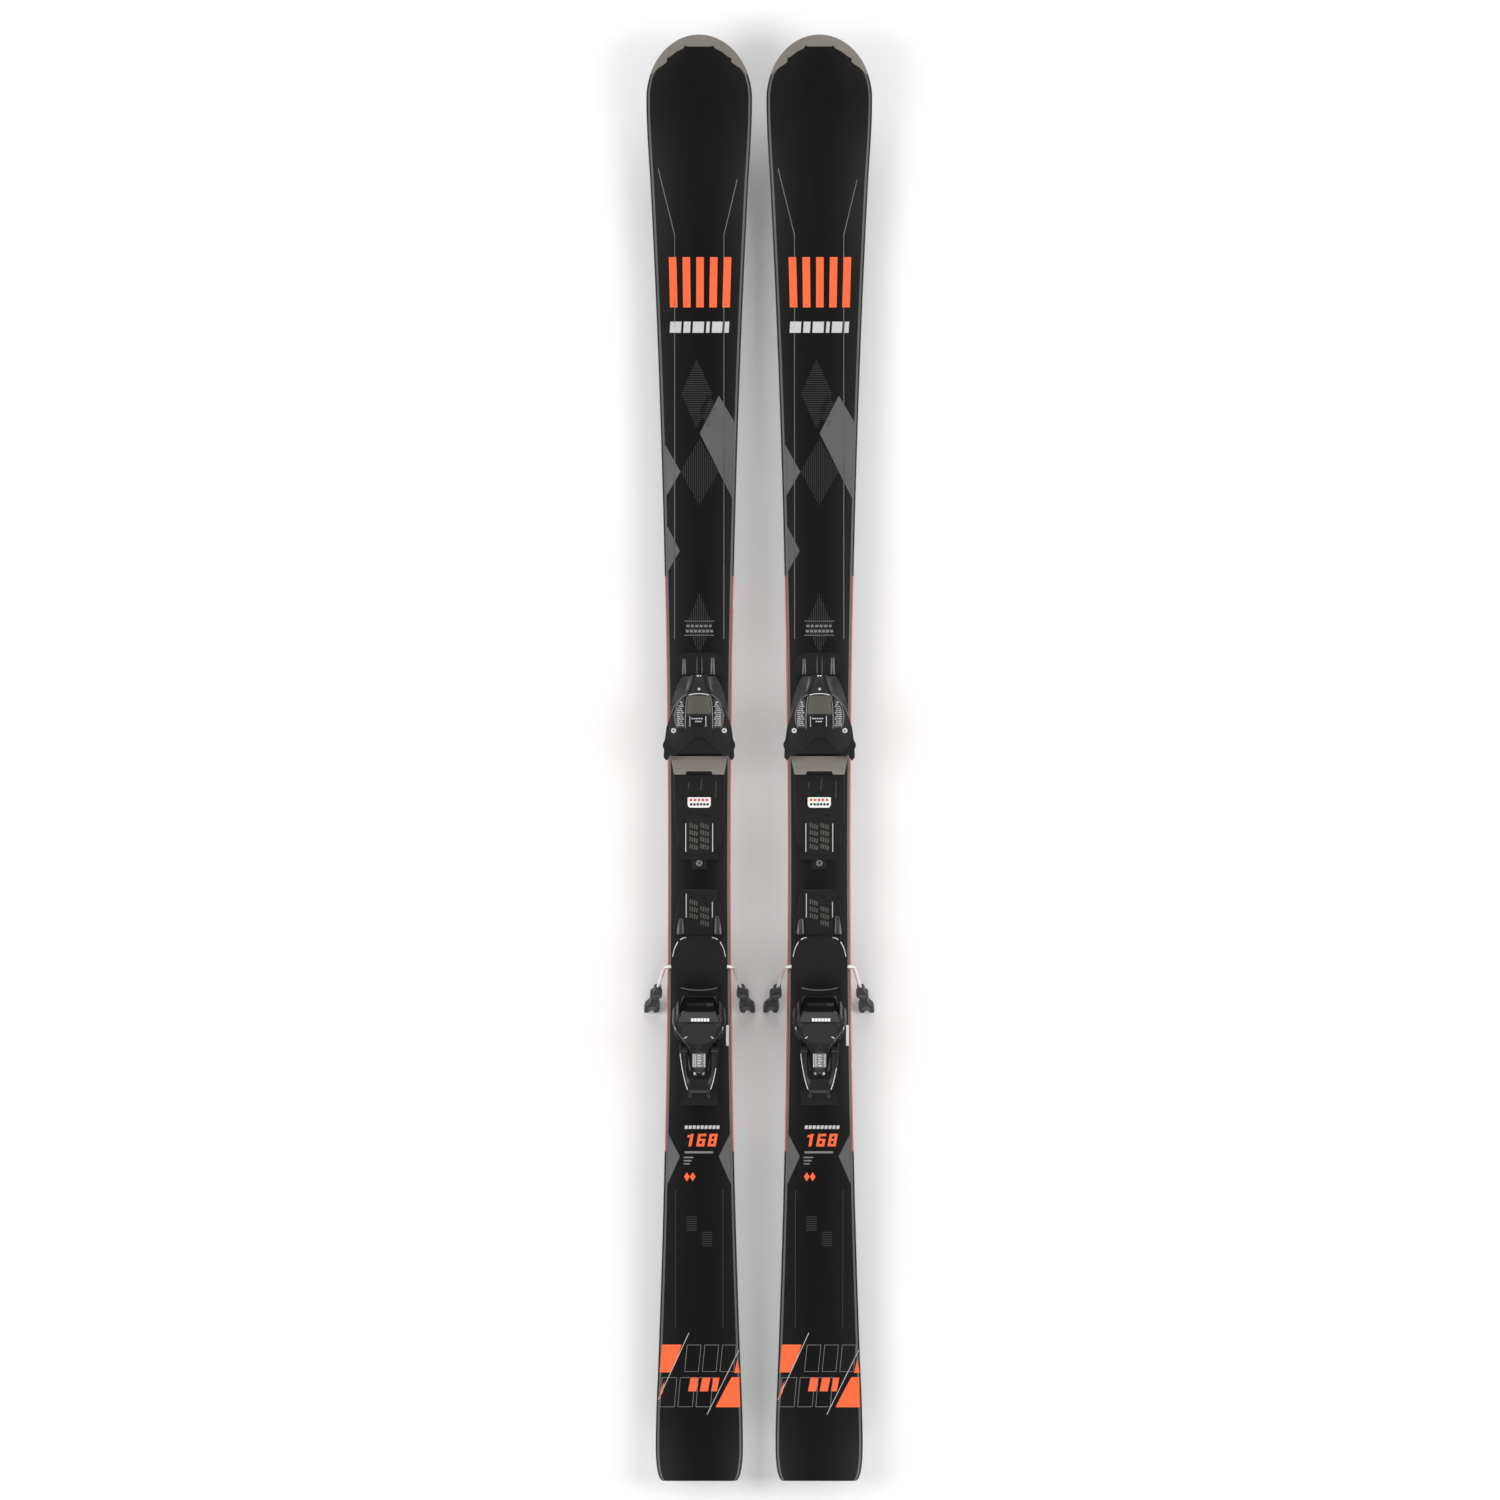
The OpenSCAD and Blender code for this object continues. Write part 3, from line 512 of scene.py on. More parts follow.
def ski_top(side):
    """The printed cap: a shell over the core with a bevel along its border."""
    def inner_half(y):
        if y <= -HALF_L + WALL_W or y >= HALF_L - WALL_W:
            return 0.4
        if y > SHOULDER_Y:
            s = (y - SHOULDER_Y) / (HALF_L - SHOULDER_Y - WALL_W)
            return max(0.4, (TIP_HALF - WALL_W) * math.sqrt(max(0.0, 1 - s * s)))
        return half_w(y) - WALL_W

    def ring(y, walled):
        shrink = 0.6 if y > PROTECTOR_Y else 0.0
        w, b, t = half_w(y) - shrink, base_z(y), top_z(y)
        w = max(w, 0.9)
        foot = t - 1 if walled else b + SOLE_T
        edge = LEDGE if walled else 0.0
        inner = min(inner_half(y), w - 0.3)
        k = min(1.0, w / 12)        # the bevel narrows where the tip closes
        right = [(inner, foot), (w - edge, foot), (w - max(edge, 0.35 * k), t - 2.2 * 0.45),
                 (w - BEVEL_OUT * k, t - 0.75 * k), (w - BEVEL_IN * k, t)]
        under = [(-inner, t - 1 - 0.001), (inner, t - 1 - 0.001)]
        left = [(-x, z) for x, z in reversed(right)]
        return [(x, y, z) for x, z in under + right + left]

    # material of each strip between neighbouring ring points; the two bevel strips (3) get the
    # lighter grey that paints the bevel's highlight
    strips = [1, 1, 1, 1, 2, 3, 0, 3, 2, 1, 1, 1]
    bm = bmesh.new()
    parts = [[ring(y, False) for y in fine(-HALF_L, WALL_REAR)],
             [ring(y + 0.02, True) for y in fine(WALL_REAR, WALL_FRONT)],
             [ring(y + 0.04, False) for y in fine(WALL_FRONT, HALF_L - 0.6)]]
    ring_tube(bm, [r for part in parts for r in part], strips=strips)
    block(bm, -0.5, 0.5, -HALF_L + 0.05, -HALF_L + 3, base_z(-HALF_L) + SOLE_T,
          top_z(-HALF_L) - 0.9, 1)          # joins the two halves of the tail's end face
    put("printed_top", bm, side, ["top", "cap", "cap", "bevel"], "ski",
        ["topsheet"], "topsheet", deck=False)


def ski_protector(side):
    """The grey cap round the tip, with its stepped inner edge."""
    inner = [(54.2, 0.2), (46.5, 7.6), (40.5, 11.2), (37.2, 14), (37.2, 18.2), (34, 19.4),
             (26, 25.4), (17.5, 29.6), (16.8, 32.2), (12.8, 31.2)]
    inner = [(x, PROTECTOR_Y + y) for x, y in inner]
    outer = []
    for a in range(0, 91, 3):
        y = SHOULDER_Y + (HALF_L - SHOULDER_Y) * math.sin(math.radians(a))
        if y > PROTECTOR_Y:
            outer.append((TIP_HALF * math.cos(math.radians(a)), y))
    first = (half_w(PROTECTOR_Y), PROTECTOR_Y)
    half = list(reversed(outer[:-1])) + [first] + inner
    outline = [(0.0, HALF_L)] + half + [(-x, y) for x, y in reversed(half)]
    bm = bmesh.new()
    bm.faces.new([bm.verts.new((x, y, 0)) for x, y in outline])
    cut_at_stations(bm, PROTECTOR_Y, HALF_L)
    thicken(bm, lambda y: base_z(y) + SOLE_T + 0.1, lambda y: top_z(y) + 0.6)
    put("tip_guard", bm, side, "protector", "ski", ["tip_protector"], "protector",
        deck=False, bevel=0.7, smooth=30)


def cut_at_stations(bm, y0, y1):
    for y in STATIONS:
        if y0 < y < y1:
            geom = bm.verts[:] + bm.edges[:] + bm.faces[:]
            bmesh.ops.bisect_plane(bm, geom=geom, plane_co=(0, y, 0), plane_no=(0, 1, 0))


def thicken(bm, low, high):
    """Gives flat faces a thickness between two heights that depend on y."""
    made = bmesh.ops.extrude_face_region(bm, geom=bm.faces[:])
    top = {v for v in made["geom"] if isinstance(v, bmesh.types.BMVert)}
    for v in bm.verts:
        v.co.z = high(v.co.y) if v in top else low(v.co.y)


# ---------------------------------------------------------------- printed graphics and painted ridge highlights
PRINT_LIFT, PRINT_SINK = 0.07, 0.06


def printed(side, name, polygons, material):
    """Crisp printed shapes and painted highlight lines: thin closed plates that follow the
    topsheet.
    """
    bm = bmesh.new()
    for poly in polygons:
        ys = [p[1] for p in poly]
        bit = bmesh.new()
        bit.faces.new([bit.verts.new((x, y, 0)) for x, y in poly])
        cut_at_stations(bit, min(ys), max(ys))
        thicken(bit, lambda y: top_z(y) - PRINT_SINK, lambda y: top_z(y) + PRINT_LIFT)
        table = {v: bm.verts.new(v.co) for v in bit.verts}
        for f in bit.faces:
            bm.faces.new([table[v] for v in f.verts])
        bit.free()
    put(name, bm, side, material, "ski", slot="topsheet", deck=False)


def bar(x0, x1, y0, y1, lean=0.0):
    """A bar whose top edge is shifted sideways by lean."""
    return [(x0, y0), (x1, y0), (x1 + lean, y1), (x0 + lean, y1)]


def line(a, b, width):
    a, b = Vector(a), Vector(b)
    n = (b - a).orthogonal().normalized() * width / 2
    return [tuple(a + n), tuple(a - n), tuple(b - n), tuple(b + n)]


def frame_of(poly, width):
    """An outlined polygon, as one thin bar per side."""
    out = []
    n = len(poly)
    for i in range(n):
        a, b = Vector(poly[i]), Vector(poly[(i + 1) % n])
        u = (b - a).normalized() * width / 2
        out.append(line(a - u, b + u, width))
    return out


def print_edge(y):
    """The widest x at which the flat topsheet can be printed."""
    ledge = LEDGE if WALL_REAR < y < WALL_FRONT else 0.0
    return half_w(y) - max(BEVEL_IN, ledge) - 0.15


def right_rim(y):
    return (print_edge(y), y)


def left_rim(y):
    return (-print_edge(y), y)


def hatch(x_of, y0, y1, pitch, width):
    """Horizontal hatching inside a shape whose half width at y is x_of(y)."""
    out, y = [], y0
    while y < y1:
        a, b = x_of(y)
        if b - a > 1.5:
            out.append(bar(a, b, y, y + width))
        y += pitch
    return out


def columns(y_of, x0, x1, pitch, width):
    """Vertical hatching inside a shape."""
    out, x = [], x0
    while x < x1:
        a, b = y_of(x)
        if b - a > 3:
            out.append(bar(x, x + width, a, b))
        x += pitch
    return out


def diamond_rows(cx, cy, rx, ry):
    def x_of(y):
        k = rx * (1 - abs(y - cy) / ry)
        return cx - k, cx + k
    return x_of


def digit(d, x, y, w, h, lean):
    """A plain slanted numeral built from blocks that meet flush."""
    s, t = 0.34, 0.2                # stroke: share of the width, and of the height
    ring = [(0, s, 0, 1), (s, 1, 1 - t, 1), (s, 1, 0.44, 0.44 + t * 0.8), (s, 1, 0, t)]
    blocks = {
        "1": [(0.46, 0.82, 0, 1), (0.12, 0.46, 0.72, 0.9)],
        "6": ring + [(1 - s, 1, t, 0.44)],
        "8": ring + [(1 - s, 1, t, 0.44), (1 - s, 1, 0.44 + t * 0.8, 1 - t)],
    }

    def corner(u, v):
        return (x + u * w + lean * v, y + v * h)

    return [[corner(a, low), corner(b, low), corner(b, top), corner(a, top)]
            for a, b, low, top in blocks[d]]


def front_print(side):
    stripes = [bar(-34 + 15.2 * k, -34 + 15.2 * k + 8.8, 525, 583.5, lean=-1.5 + 0.8 * k)
               for k in range(5)]
    printed(side, "emblem_bars", stripes, "orange")
    blocks, x = [], -34.4
    for w in (13, 8, 13, 4, 12, 5):
        blocks.append(bar(x, x + w, 495.5, 508.5, lean=0.8))
        x += w + 2.7
    printed(side, "word_blocks", blocks, "white")

    # two dashed lines along the forebody that open out towards the shovel: painted highlights along
    # the edges of the raised centre ridge
    dashes = []
    for s in (-1, 1):
        y = 140.0
        while y < 608:
            dashes.append(bar(s * 28.6 - 0.5, s * 28.6 + 0.5, y, y + 1.5))
            y += 2.4
        end = (-47.8, 686.0) if s < 0 else (44.0, 673.0)
        dashes.append(line((s * 28.6, 609), end, 0.75))
    printed(side, "ridge_highlight_lines", dashes, "line")

    faint = hatch(diamond_rows(-3, 424, 18, 41), 384, 465, 2.6, 0.9)
    faint += hatch(diamond_rows(10.5, 404, 10.5, 21), 384, 424, 2.6, 0.9)
    faint += columns(lambda x: (334 - 39 * (1 - abs(x) / 22), 334 + 39 * (1 - abs(x) / 22)),
                     -21, 21, 2.3, 0.7)
    faint += columns(lambda x: (157 - 36 * (1 - abs(x) / 15), 157 + 36 * (1 - abs(x) / 15)),
                     -14, 14, 2.3, 0.7)
    printed(side, "faint_hatching", faint, "faint")

    shards = [
        [(22.9, 422.5), (0.6, 378.7), (38.9, 302), right_rim(304), right_rim(346),
         right_rim(392)],
        [(-21.9, 334), left_rim(366), left_rim(336), left_rim(306)],
        [(-22.6, 242), left_rim(271), left_rim(245), left_rim(219)],
    ]
    printed(side, "grey_shards", shards, "grey")
    label = [bar(-17.3, 17.3, 160.2, 160.9), bar(-17.3, 17.3, 143.8, 144.5)]
    label += [bar(-15 + 5.2 * k, -11.4 + 5.2 * k, 153.6, 156.2) for k in range(6)]
    label += [bar(-15.5 + 4.7 * k, -12.2 + 4.7 * k, 147.4, 150.4) for k in range(7)]
    printed(side, "small_label", label, "line")


def rear_print(side):
    printed(side, "small_text_bars",
            [bar(-17 + 4.6 * k, -13.6 + 4.6 * k, -428.6, -424.6, 0.5) for k in range(9)],
            "white")
    digits = []
    for k, d in enumerate("168"):
        digits += digit(d, -17 + 13.2 * k, -449, 9.6, 14.8, 2.8)
    printed(side, "length_digits", digits, "orange")
    rows = [bar(-17, 16, -457, -454.6)]
    rows += [bar(-18, -18 + w, y, y + 1.5) for w, y in ((11, -462.5), (9, -466.3), (7, -470))]
    printed(side, "tiny_rows", rows, "line")
    gems = [[(cx - 3.4, -484.2), (cx, -489.5), (cx + 3.4, -484.2), (cx, -479)]
            for cx in (-14.4, -7.6)]
    printed(side, "two_gems", gems, "orange")
    shards = [[(22.5, -460.6), right_rim(-435), right_rim(-464), right_rim(-493)],
              [(-22.5, -460.6), left_rim(-493), left_rim(-464), left_rim(-435)]]
    printed(side, "rear_shards", shards, "grey")
    faint = [bar(-15, -3, -547 + 2.6 * k, -546.1 + 2.6 * k) for k in range(7)]
    faint += [bar(3, 15, -565 + 2.6 * k, -564.1 + 2.6 * k) for k in range(7)]
    faint += [bar(s * 27.5 - 0.4, s * 27.5 + 0.4, -660, -500) for s in (-1, 1)]
    printed(side, "rear_faint", faint, "faint")

    # two rows of slanted blocks across the tail, some outlined and some filled
    outlined = []
    for k in range(3):
        outlined += frame_of(bar(-17 + 20.5 * k, -1 + 20.5 * k, -711, -680, 3), 0.55)
    for k in range(3):
        outlined += frame_of(bar(-46 + 21 * k, -29 + 21 * k, -752, -718, 3), 0.55)
    printed(side, "outlined_blocks", outlined, "line")
    filled = [
        [(-46, -712), (-34, -712), (-25, -694), (-20.5, -679.5), (-43.5, -679.5)],
        [(19, -752.5), (47.6, -752.5), (46.5, -717.5), (37.5, -717.5), (30, -731)],
        [(40.5, -712.5), (47.2, -712.5), (44.2, -697)],
        bar(-13, -3.5, -734, -718, 3), bar(0.5, 10, -734, -718, 3),
        bar(13.5, 20.5, -734, -718, 3),
        [(-47, -744), (-45, -732), (-40, -722), (-42.5, -735)],
    ]
    printed(side, "filled_blocks", filled, "orange")
    printed(side, "slashes", [line((-12, -666), (-48, -744), 0.7),
                              line((46, -686), (9, -761), 0.7)], "white")


# ---------------------------------------------------------------- toe piece
def toe_roof(y):
    """Height of the toe housing's roof above the deck."""
    knots = [(-2, 45.5), (5, 47.0), (22, 49.0), (37, 50.0), (62, 50.0), (74, 48.8), (85, 46.0),
             (97.5, 42.0)]
    for (a, za), (b, zb) in zip(knots, knots[1:]):
        if y <= b:
            t = max(0.0, min(1.0, (y - a) / (b - a)))
            return za + (zb - za) * t
    return knots[-1][1]


def toe_housing(side):
    bm = bmesh.new()
    # nose, lofted along the ski from rounded sections
    rings = []
    for y, half in ((49.5, 33.8), (56, 31.6), (62, 28.8), (66, 26.2), (70, 22.8), (74, 19),
                    (78, 15.6), (82, 13.4), (88, 11.6), (94, 10.4), (97, 9.4), (98, 8.2)):
        top = toe_roof(y)
        low = 10 + max(0.0, y - 84) * 0.9
        right = [(half * 0.86, low), (half, low + 4), (half, top - 8), (half - 0.9, top - 4),
                 (half - 2.6, top - 1.5), (half - 5.4, top - 0.2)]
        ring = right + [(0, top + 0.3)] + [(-x, z) for x, z in reversed(right)]
        rings.append([(x, y, z) for x, z in ring])
    ring_tube(bm, rings)
    # lower deck and spring barrel
    prism(bm, mirrored([(30, 24), (34, 37), (34, 50)]), 10, 27.2)
    prism(bm, mirrored([(13, 24), (13, 51)]), 27, 46.4)
    put("toe_body", bm, side, "plastic", "toe", ["toe_housing"], "binding_plastic",
        bevel=0.8, smooth=28)

    # cheeks that slope down to the plate beside the nose, painted lighter grey as a painted sheen
    bm = bmesh.new()
    rings = []
    for y, half, out, inner, top in ((49.2, 33.8, 24, 24, 27.1), (60, 32.6, 20, 22, 26.8),
                                     (68, 30.8, 16, 20, 25.6), (76, 28.6, 13.4, 17, 23.4),
                                     (84, 26, 12, 14.4, 20.4), (92, 22.2, 11, 12.4, 16.2),
                                     (96.5, 19, 10.6, 11, 13)):
        right = [(half, 10.1), (half, out), (inner, top)]
        rings.append([(x, y, z) for x, z in right + [(-x, z) for x, z in reversed(right)]])
    ring_tube(bm, rings)
    put("toe_cheeks", bm, side, "sheen", "toe", slot="binding_plastic", bevel=0.8)

    bm = bmesh.new()
    roof = rounded(mirrored([(12.6, 25.6), (25.6, 5.4), (33, 5.4), (36.5, 22), (36, 37),
                             (33, 50.5), (27.5, 62)]), 2.4)
    domed(bm, roof, 46.35, lambda x, y: toe_roof(y) - 0.1 - 0.0016 * x * x)
    put("toe_roof", bm, side, "plastic", "toe", slot="binding_plastic", bevel=1.1)
    # thin darker plate in the roof where a recess would be: painted shade, not a real pocket
    bm = bmesh.new()
    prism(bm, mirrored([(24.6, 6.4), (12.4, 26.4)]), 46.1, 46.9)
    put("toe_recess_shade", bm, side, "pad", "toe", slot="binding_plastic", bevel=0.2)

    # raised frame round the windows and the two lens ribs
    bm = bmesh.new()
    for s in (-1, 1):
        sweep(bm, curve([(s * 13.4, 75.2, 49.4), (s * 19, 71.5, 49.8), (s * 24.4, 64, 50.1),
                         (s * 27.6, 53, 50.2), (s * 27.4, 43, 50.2), (s * 25, 36, 50.2)]), 0.62, 10)
        sweep(bm, curve([(s * 13.4, 73, 49.8), (s * 15, 62, 50.5), (s * 15.6, 48, 50.7),
                         (s * 15.6, 36, 50.5)]), 0.5, 8)
    put("toe_frame", bm, side, "rib", "toe", slot="cover_plastic")

    bm = bmesh.new()
    domed(bm, rounded(mirrored([(14.3, 52.6), (12.4, 74)]), 1.6), 49.0,
          lambda x, y: min(51.4, toe_roof(y) + 1.3) - 0.003 * x * x)
    put("toe_cap", bm, side, "cover", "toe", ["toe_cover"], "cover_plastic", bevel=0.6)

    # the cap's front rim painted bright as a painted highlight, and a small boss on the nose in the
    # same bright material
    bm = bmesh.new()
    sweep(bm, curve([(-11.8, 74.4, 50.0), (-6, 75.6, 50.2), (0, 76, 50.2), (6, 75.6, 50.2),
                     (11.8, 74.4, 50.0)]), 0.62, 10)
    disc(bm, (0, 81, 46.4), (0, 0.2, 1), 1.6, 1.4, 20)
    put("toe_cap_rim_highlight", bm, side, "shine", "toe", slot="cover_plastic")

    # the dark middle window with plain dashes
    bm = bmesh.new()
    prism(bm, rounded([(-11.6, 36.6), (9.6, 36.6), (9.6, 51), (-11.6, 51)], 0.8), 49.2, 50.7)
    put("middle_window", bm, side, "dark", "toe", slot="binding_plastic", bevel=0.2)
    bm = bmesh.new()
    for y, xs in ((46.6, (-8.6, -5.9, -3.2, -0.5, 2.2)), (43.2, (-4.4, -1.7, 1.0))):
        for x in xs:
            block(bm, x, x + 1.9, y, y + 1.4, 50.5, 50.86)
    block(bm, 7.4, 8.3, 38, 50, 50.5, 50.86)
    block(bm, -10.8, -10.1, 38, 50, 50.5, 50.86)
    put("middle_marks", bm, side, "white", "toe", slot="binding_plastic")

    # the scale windows: bed, two columns of tick marks and the clear pane
    def glazed(lift):
        return lambda x, y: toe_roof(y) + lift

    def both(points):
        return [rounded([(s * x, y) for x, y in points], 2.0) for s in (-1, 1)]

    bm = bmesh.new()
    for bed in both([(16.4, 36.8), (25.2, 36.8), (27, 46), (26.8, 54), (23.7, 64), (17, 71)]):
        domed(bm, bed, 46.6, glazed(0.1))
    put("scale_beds", bm, side, "scale", "toe", slot="cover_plastic")
    bm = bmesh.new()
    for s in (-1, 1):
        for k in range(12):
            y = 38.6 + 2.45 * k
            edge = 25.6 - max(0.0, y - 56) * 0.5
            start = 17.6 + (k % 3) * 0.9
            for a, b, shift in ((start, start + 2.6, 0), (start + 3.3, edge, 0.3)):
                if b - a > 1:
                    prism(bm, [(s * a, y + shift), (s * b, y + shift), (s * b, y + shift + 1.4),
                               (s * a, y + shift + 1.4)], glazed(0.05), glazed(0.22))
    put("window_marks", bm, side, "mark", "toe", slot="binding_plastic")
    bm = bmesh.new()
    for pane in both([(16.8, 37.2), (24.9, 37.2), (26.6, 46), (26.4, 54), (23.4, 63.6),
                      (17.2, 70.6)]):
        domed(bm, pane, 50.3, glazed(0.7))
    put("scale_panes", bm, side, "glass", "toe", ["toe_windows"], "window")


def toe_wing(side, hand):
    s = -1 if hand == "left" else 1
    outline = [(19.2, 42), (21.5, 46.8), (34.6, 46.8), (37.6, 37), (39.4, 23), (41.8, 18.6),
               (41.9, 14.8), (40.4, 12), (40.9, 2.5), (37.4, -1.6), (34.8, 2), (30.2, 12),
               (23.2, 19), (15.4, 24)]
    bm = bmesh.new()
    prism(bm, [(s * x, y) for x, y in rounded(outline, 1.4)], 27.6, 45.9)
    put(f"toe_wing_{hand}", bm, side, "plastic", f"toe_wing_{hand}", [f"wing_{hand}"],
        "binding_plastic", bevel=1.3)


WING_PIVOT_X, WING_PIVOT_Y = 29.3, 33.4


def toe_screws(side):
    bm = bmesh.new()
    for s in (-1, 1):
        disc(bm, (s * WING_PIVOT_X, WING_PIVOT_Y, 12), (0, 0, 1), 3, 38.3, 32, edge=0.5)
    put("wing_pivots", bm, side, "shine", "toe", ["wing_screws"], "screw_steel")
    # dark crosses on the pivot heads: painted shade standing in for the screw slots
    bm = bmesh.new()
    for s in (-1, 1):
        for w, h in ((1.3, 0.3), (0.3, 1.3)):
            x, y = s * WING_PIVOT_X, WING_PIVOT_Y
            block(bm, x - w, x + w, y - h, y + h, 50.0, 50.36)
    put("wing_pivot_slot_shade", bm, side, "dark", "toe", slot="screw_steel")


def afd(side):
    bm = bmesh.new()
    half = [(14.6, -13.6), (15.4, -17.4), (28.9, -17.4), (33.2, 4)]
    outline = rounded([(-x, y) for x, y in half] + list(reversed(half)), 0.9)
    prism(bm, outline, 21.4, 25.6)
    block(bm, -15, 15, -11.5, -2.5, 17.2, 21.5)
    for k in range(7):
        y = -11.4 + 2.1 * k
        x = 28.5 + (y + 17.5) * 0.17
        block(bm, -x, x, y, y + 1.0, 25.2, 25.98)
    put("sliding_plate", bm, side, "afd", "afd", ["afd_plate"], "afd", bevel=0.3,
        segments=2)


def scale_blocks(bm, y0, rows_left, rows_right, z):
    """Two columns of slanted blocks on a scale tongue."""
    for rows, x in ((rows_left, -11.6), (rows_right, 1.2)):
        for k in rows:
            for j in range(4):
                u = x + 2.6 * j
                y = y0 + 8 * k - 0.28 * (u - x)
                prism(bm, [(u, y), (u + 1.5, y - 0.4), (u + 2.3, y + 4.7), (u + 0.8, y + 5.1)],
                      z - 0.4, z + 0.3)


def toe_slider(side):
    bm = bmesh.new()
    plate = rounded(mirrored([(24.8, -99.4), (28.2, -70), (29.7, -16.6)]), 2)
    prism(bm, plate, 0.5, 8.1)
    for s in (-1, 1):
        lug = [(s * 15.8, -106.2), (s * 18, -106.2), (s * 25.1, -99.2), (s * 26, -90),
               (s * 15.8, -90)]
        prism(bm, rounded(lug, 1.2), 0.6, 8.0)
    front = rounded(mirrored([(26, -16.6), (26, 60), (16, 84)]), 2.0)
    prism(bm, front, 0.5, 10)
    block(bm, -24, 24, -16.4, 3, 9.8, 16.9)
    for y0, y1 in ((-16.4, -12.0), (-2.0, 3.0)):
        block(bm, -24, 24, y0, y1, 16.8, 21.0)
    put("toe_slider", bm, side, "slider", "toe", ["toe_base"], "slider_plastic",
        bevel=0.9)
    bm = bmesh.new()
    tongue = rounded([(-16.6, -109.8), (16.6, -109.8), (16.6, -67), (-16.6, -61)], 3.2)
    prism(bm, tongue, 6.4, 10.2)
    for s in (-1, 1):
        domed(bm, rounded([(s * 17.8, -103), (s * 23.4, -98), (s * 25.6, -84), (s * 24, -74),
                           (s * 18, -79)], 2.4), 7.8, lambda x, y: 9.6 - 0.02 * (y + 89) ** 2 / 4)
    put("toe_tongue", bm, side, "slider", "toe", slot="slider_plastic", bevel=0.5,
        segments=2)
    bm = bmesh.new()
    for x, y0, y1 in ((2, -36, -22), (19, -45, -25), (-12.6, -34, -26)):
        prism(bm, rounded([(x - 0.9, y0), (x + 0.9, y0), (x + 1.5, y1), (x + 0.1, y1)], 0.6),
              7.8, 8.9)
    put("slider_ribs", bm, side, "faint", "toe", slot="slider_plastic", bevel=0.3)
    bm = bmesh.new()
    scale_blocks(bm, -102.5, (0, 1, 2, 3), (0, 1, 2, 3), 10.2)
    put("toe_scale", bm, side, "scale", "toe", slot="slider_plastic")
    bm = bmesh.new()
    for x in (-15.6, 15.6):
        block(bm, x - 0.5, x + 0.5, -107, -74, 9.9, 10.55)
    put("toe_tongue_strips", bm, side, "white", "toe", slot="screw_steel")
    bm = bmesh.new()
    prism(bm, rounded([(-13.4, -53.0), (-11.4, -55.8), (11.4, -55.8), (13.4, -53.0),
                       (13.4, -43.8), (-13.4, -43.8)], 0.9), 8.0, 8.5)
    put("sticker", bm, side, "mark", "toe", slot="slider_plastic")
    bm = bmesh.new()
    for k in range(5):
        block(bm, -11 + 4.6 * k, -8 + 4.6 * k, -48.2, -45.6, 8.4, 8.62)
    put("sticker_marks_red", bm, side, "red", "toe", slot="slider_plastic")
    bm = bmesh.new()
    for k in range(6):
        block(bm, -10.6 + 3.8 * k, -8 + 3.8 * k, -53.4, -50.6, 8.4, 8.62)
    put("sticker_marks", bm, side, "dark", "toe", slot="slider_plastic")


# ---------------------------------------------------------------- heel piece
def heel_slider(side):
    bm = bmesh.new()
    plate = rounded([(-29.8, -203.6), (-28.8, -192), (-22.4, -157), (-20.6, -153.4),
                     (23.2, -163.6), (28.8, -192), (29.8, -203.6)], 2.2)
    prism(bm, plate, 0.5, 8.1)
    block(bm, -5, 5, -262, -204, 6.35, 8.6)
    tongue = rounded([(-15.8, -204.6), (15.8, -204.6), (15.8, -164), (-15.8, -154.8)], 1.8)
    prism(bm, tongue, 6.4, 10)
    put("heel_tongue_plate", bm, side, "slider", "heel_slider", ["heel_tongue"],
        "slider_plastic", bevel=0.7)
    # humps in the lighter grey that paints a sheen on them
    bm = bmesh.new()
    for s, y1 in ((-1, -184), (1, -181)):
        hump = rounded([(s * 17.4, -203), (s * 26.4, -203), (s * 25, -191), (s * 22.6, y1),
                        (s * 18.6, y1)], 2.6)
        domed(bm, hump, 7.8, lambda x, y: 10.6 - 0.035 * (abs(x) - 21.5) ** 2)
    put("heel_tongue_humps", bm, side, "sheen", "heel_slider", slot="slider_plastic",
        bevel=0.5, segments=2)
    bm = bmesh.new()
    scale_blocks(bm, -191, (1, 2, 3), (0, 1, 2), 10)
    put("heel_scale", bm, side, "scale", "heel_slider", slot="slider_plastic")
    bm = bmesh.new()
    for x, y0, y1 in ((-15, -183, -155.5), (15.3, -183, -165)):
        block(bm, x - 0.5, x + 0.5, y0, y1, 9.7, 10.35)
    put("heel_tongue_strips", bm, side, "white", "heel_slider", slot="screw_steel")


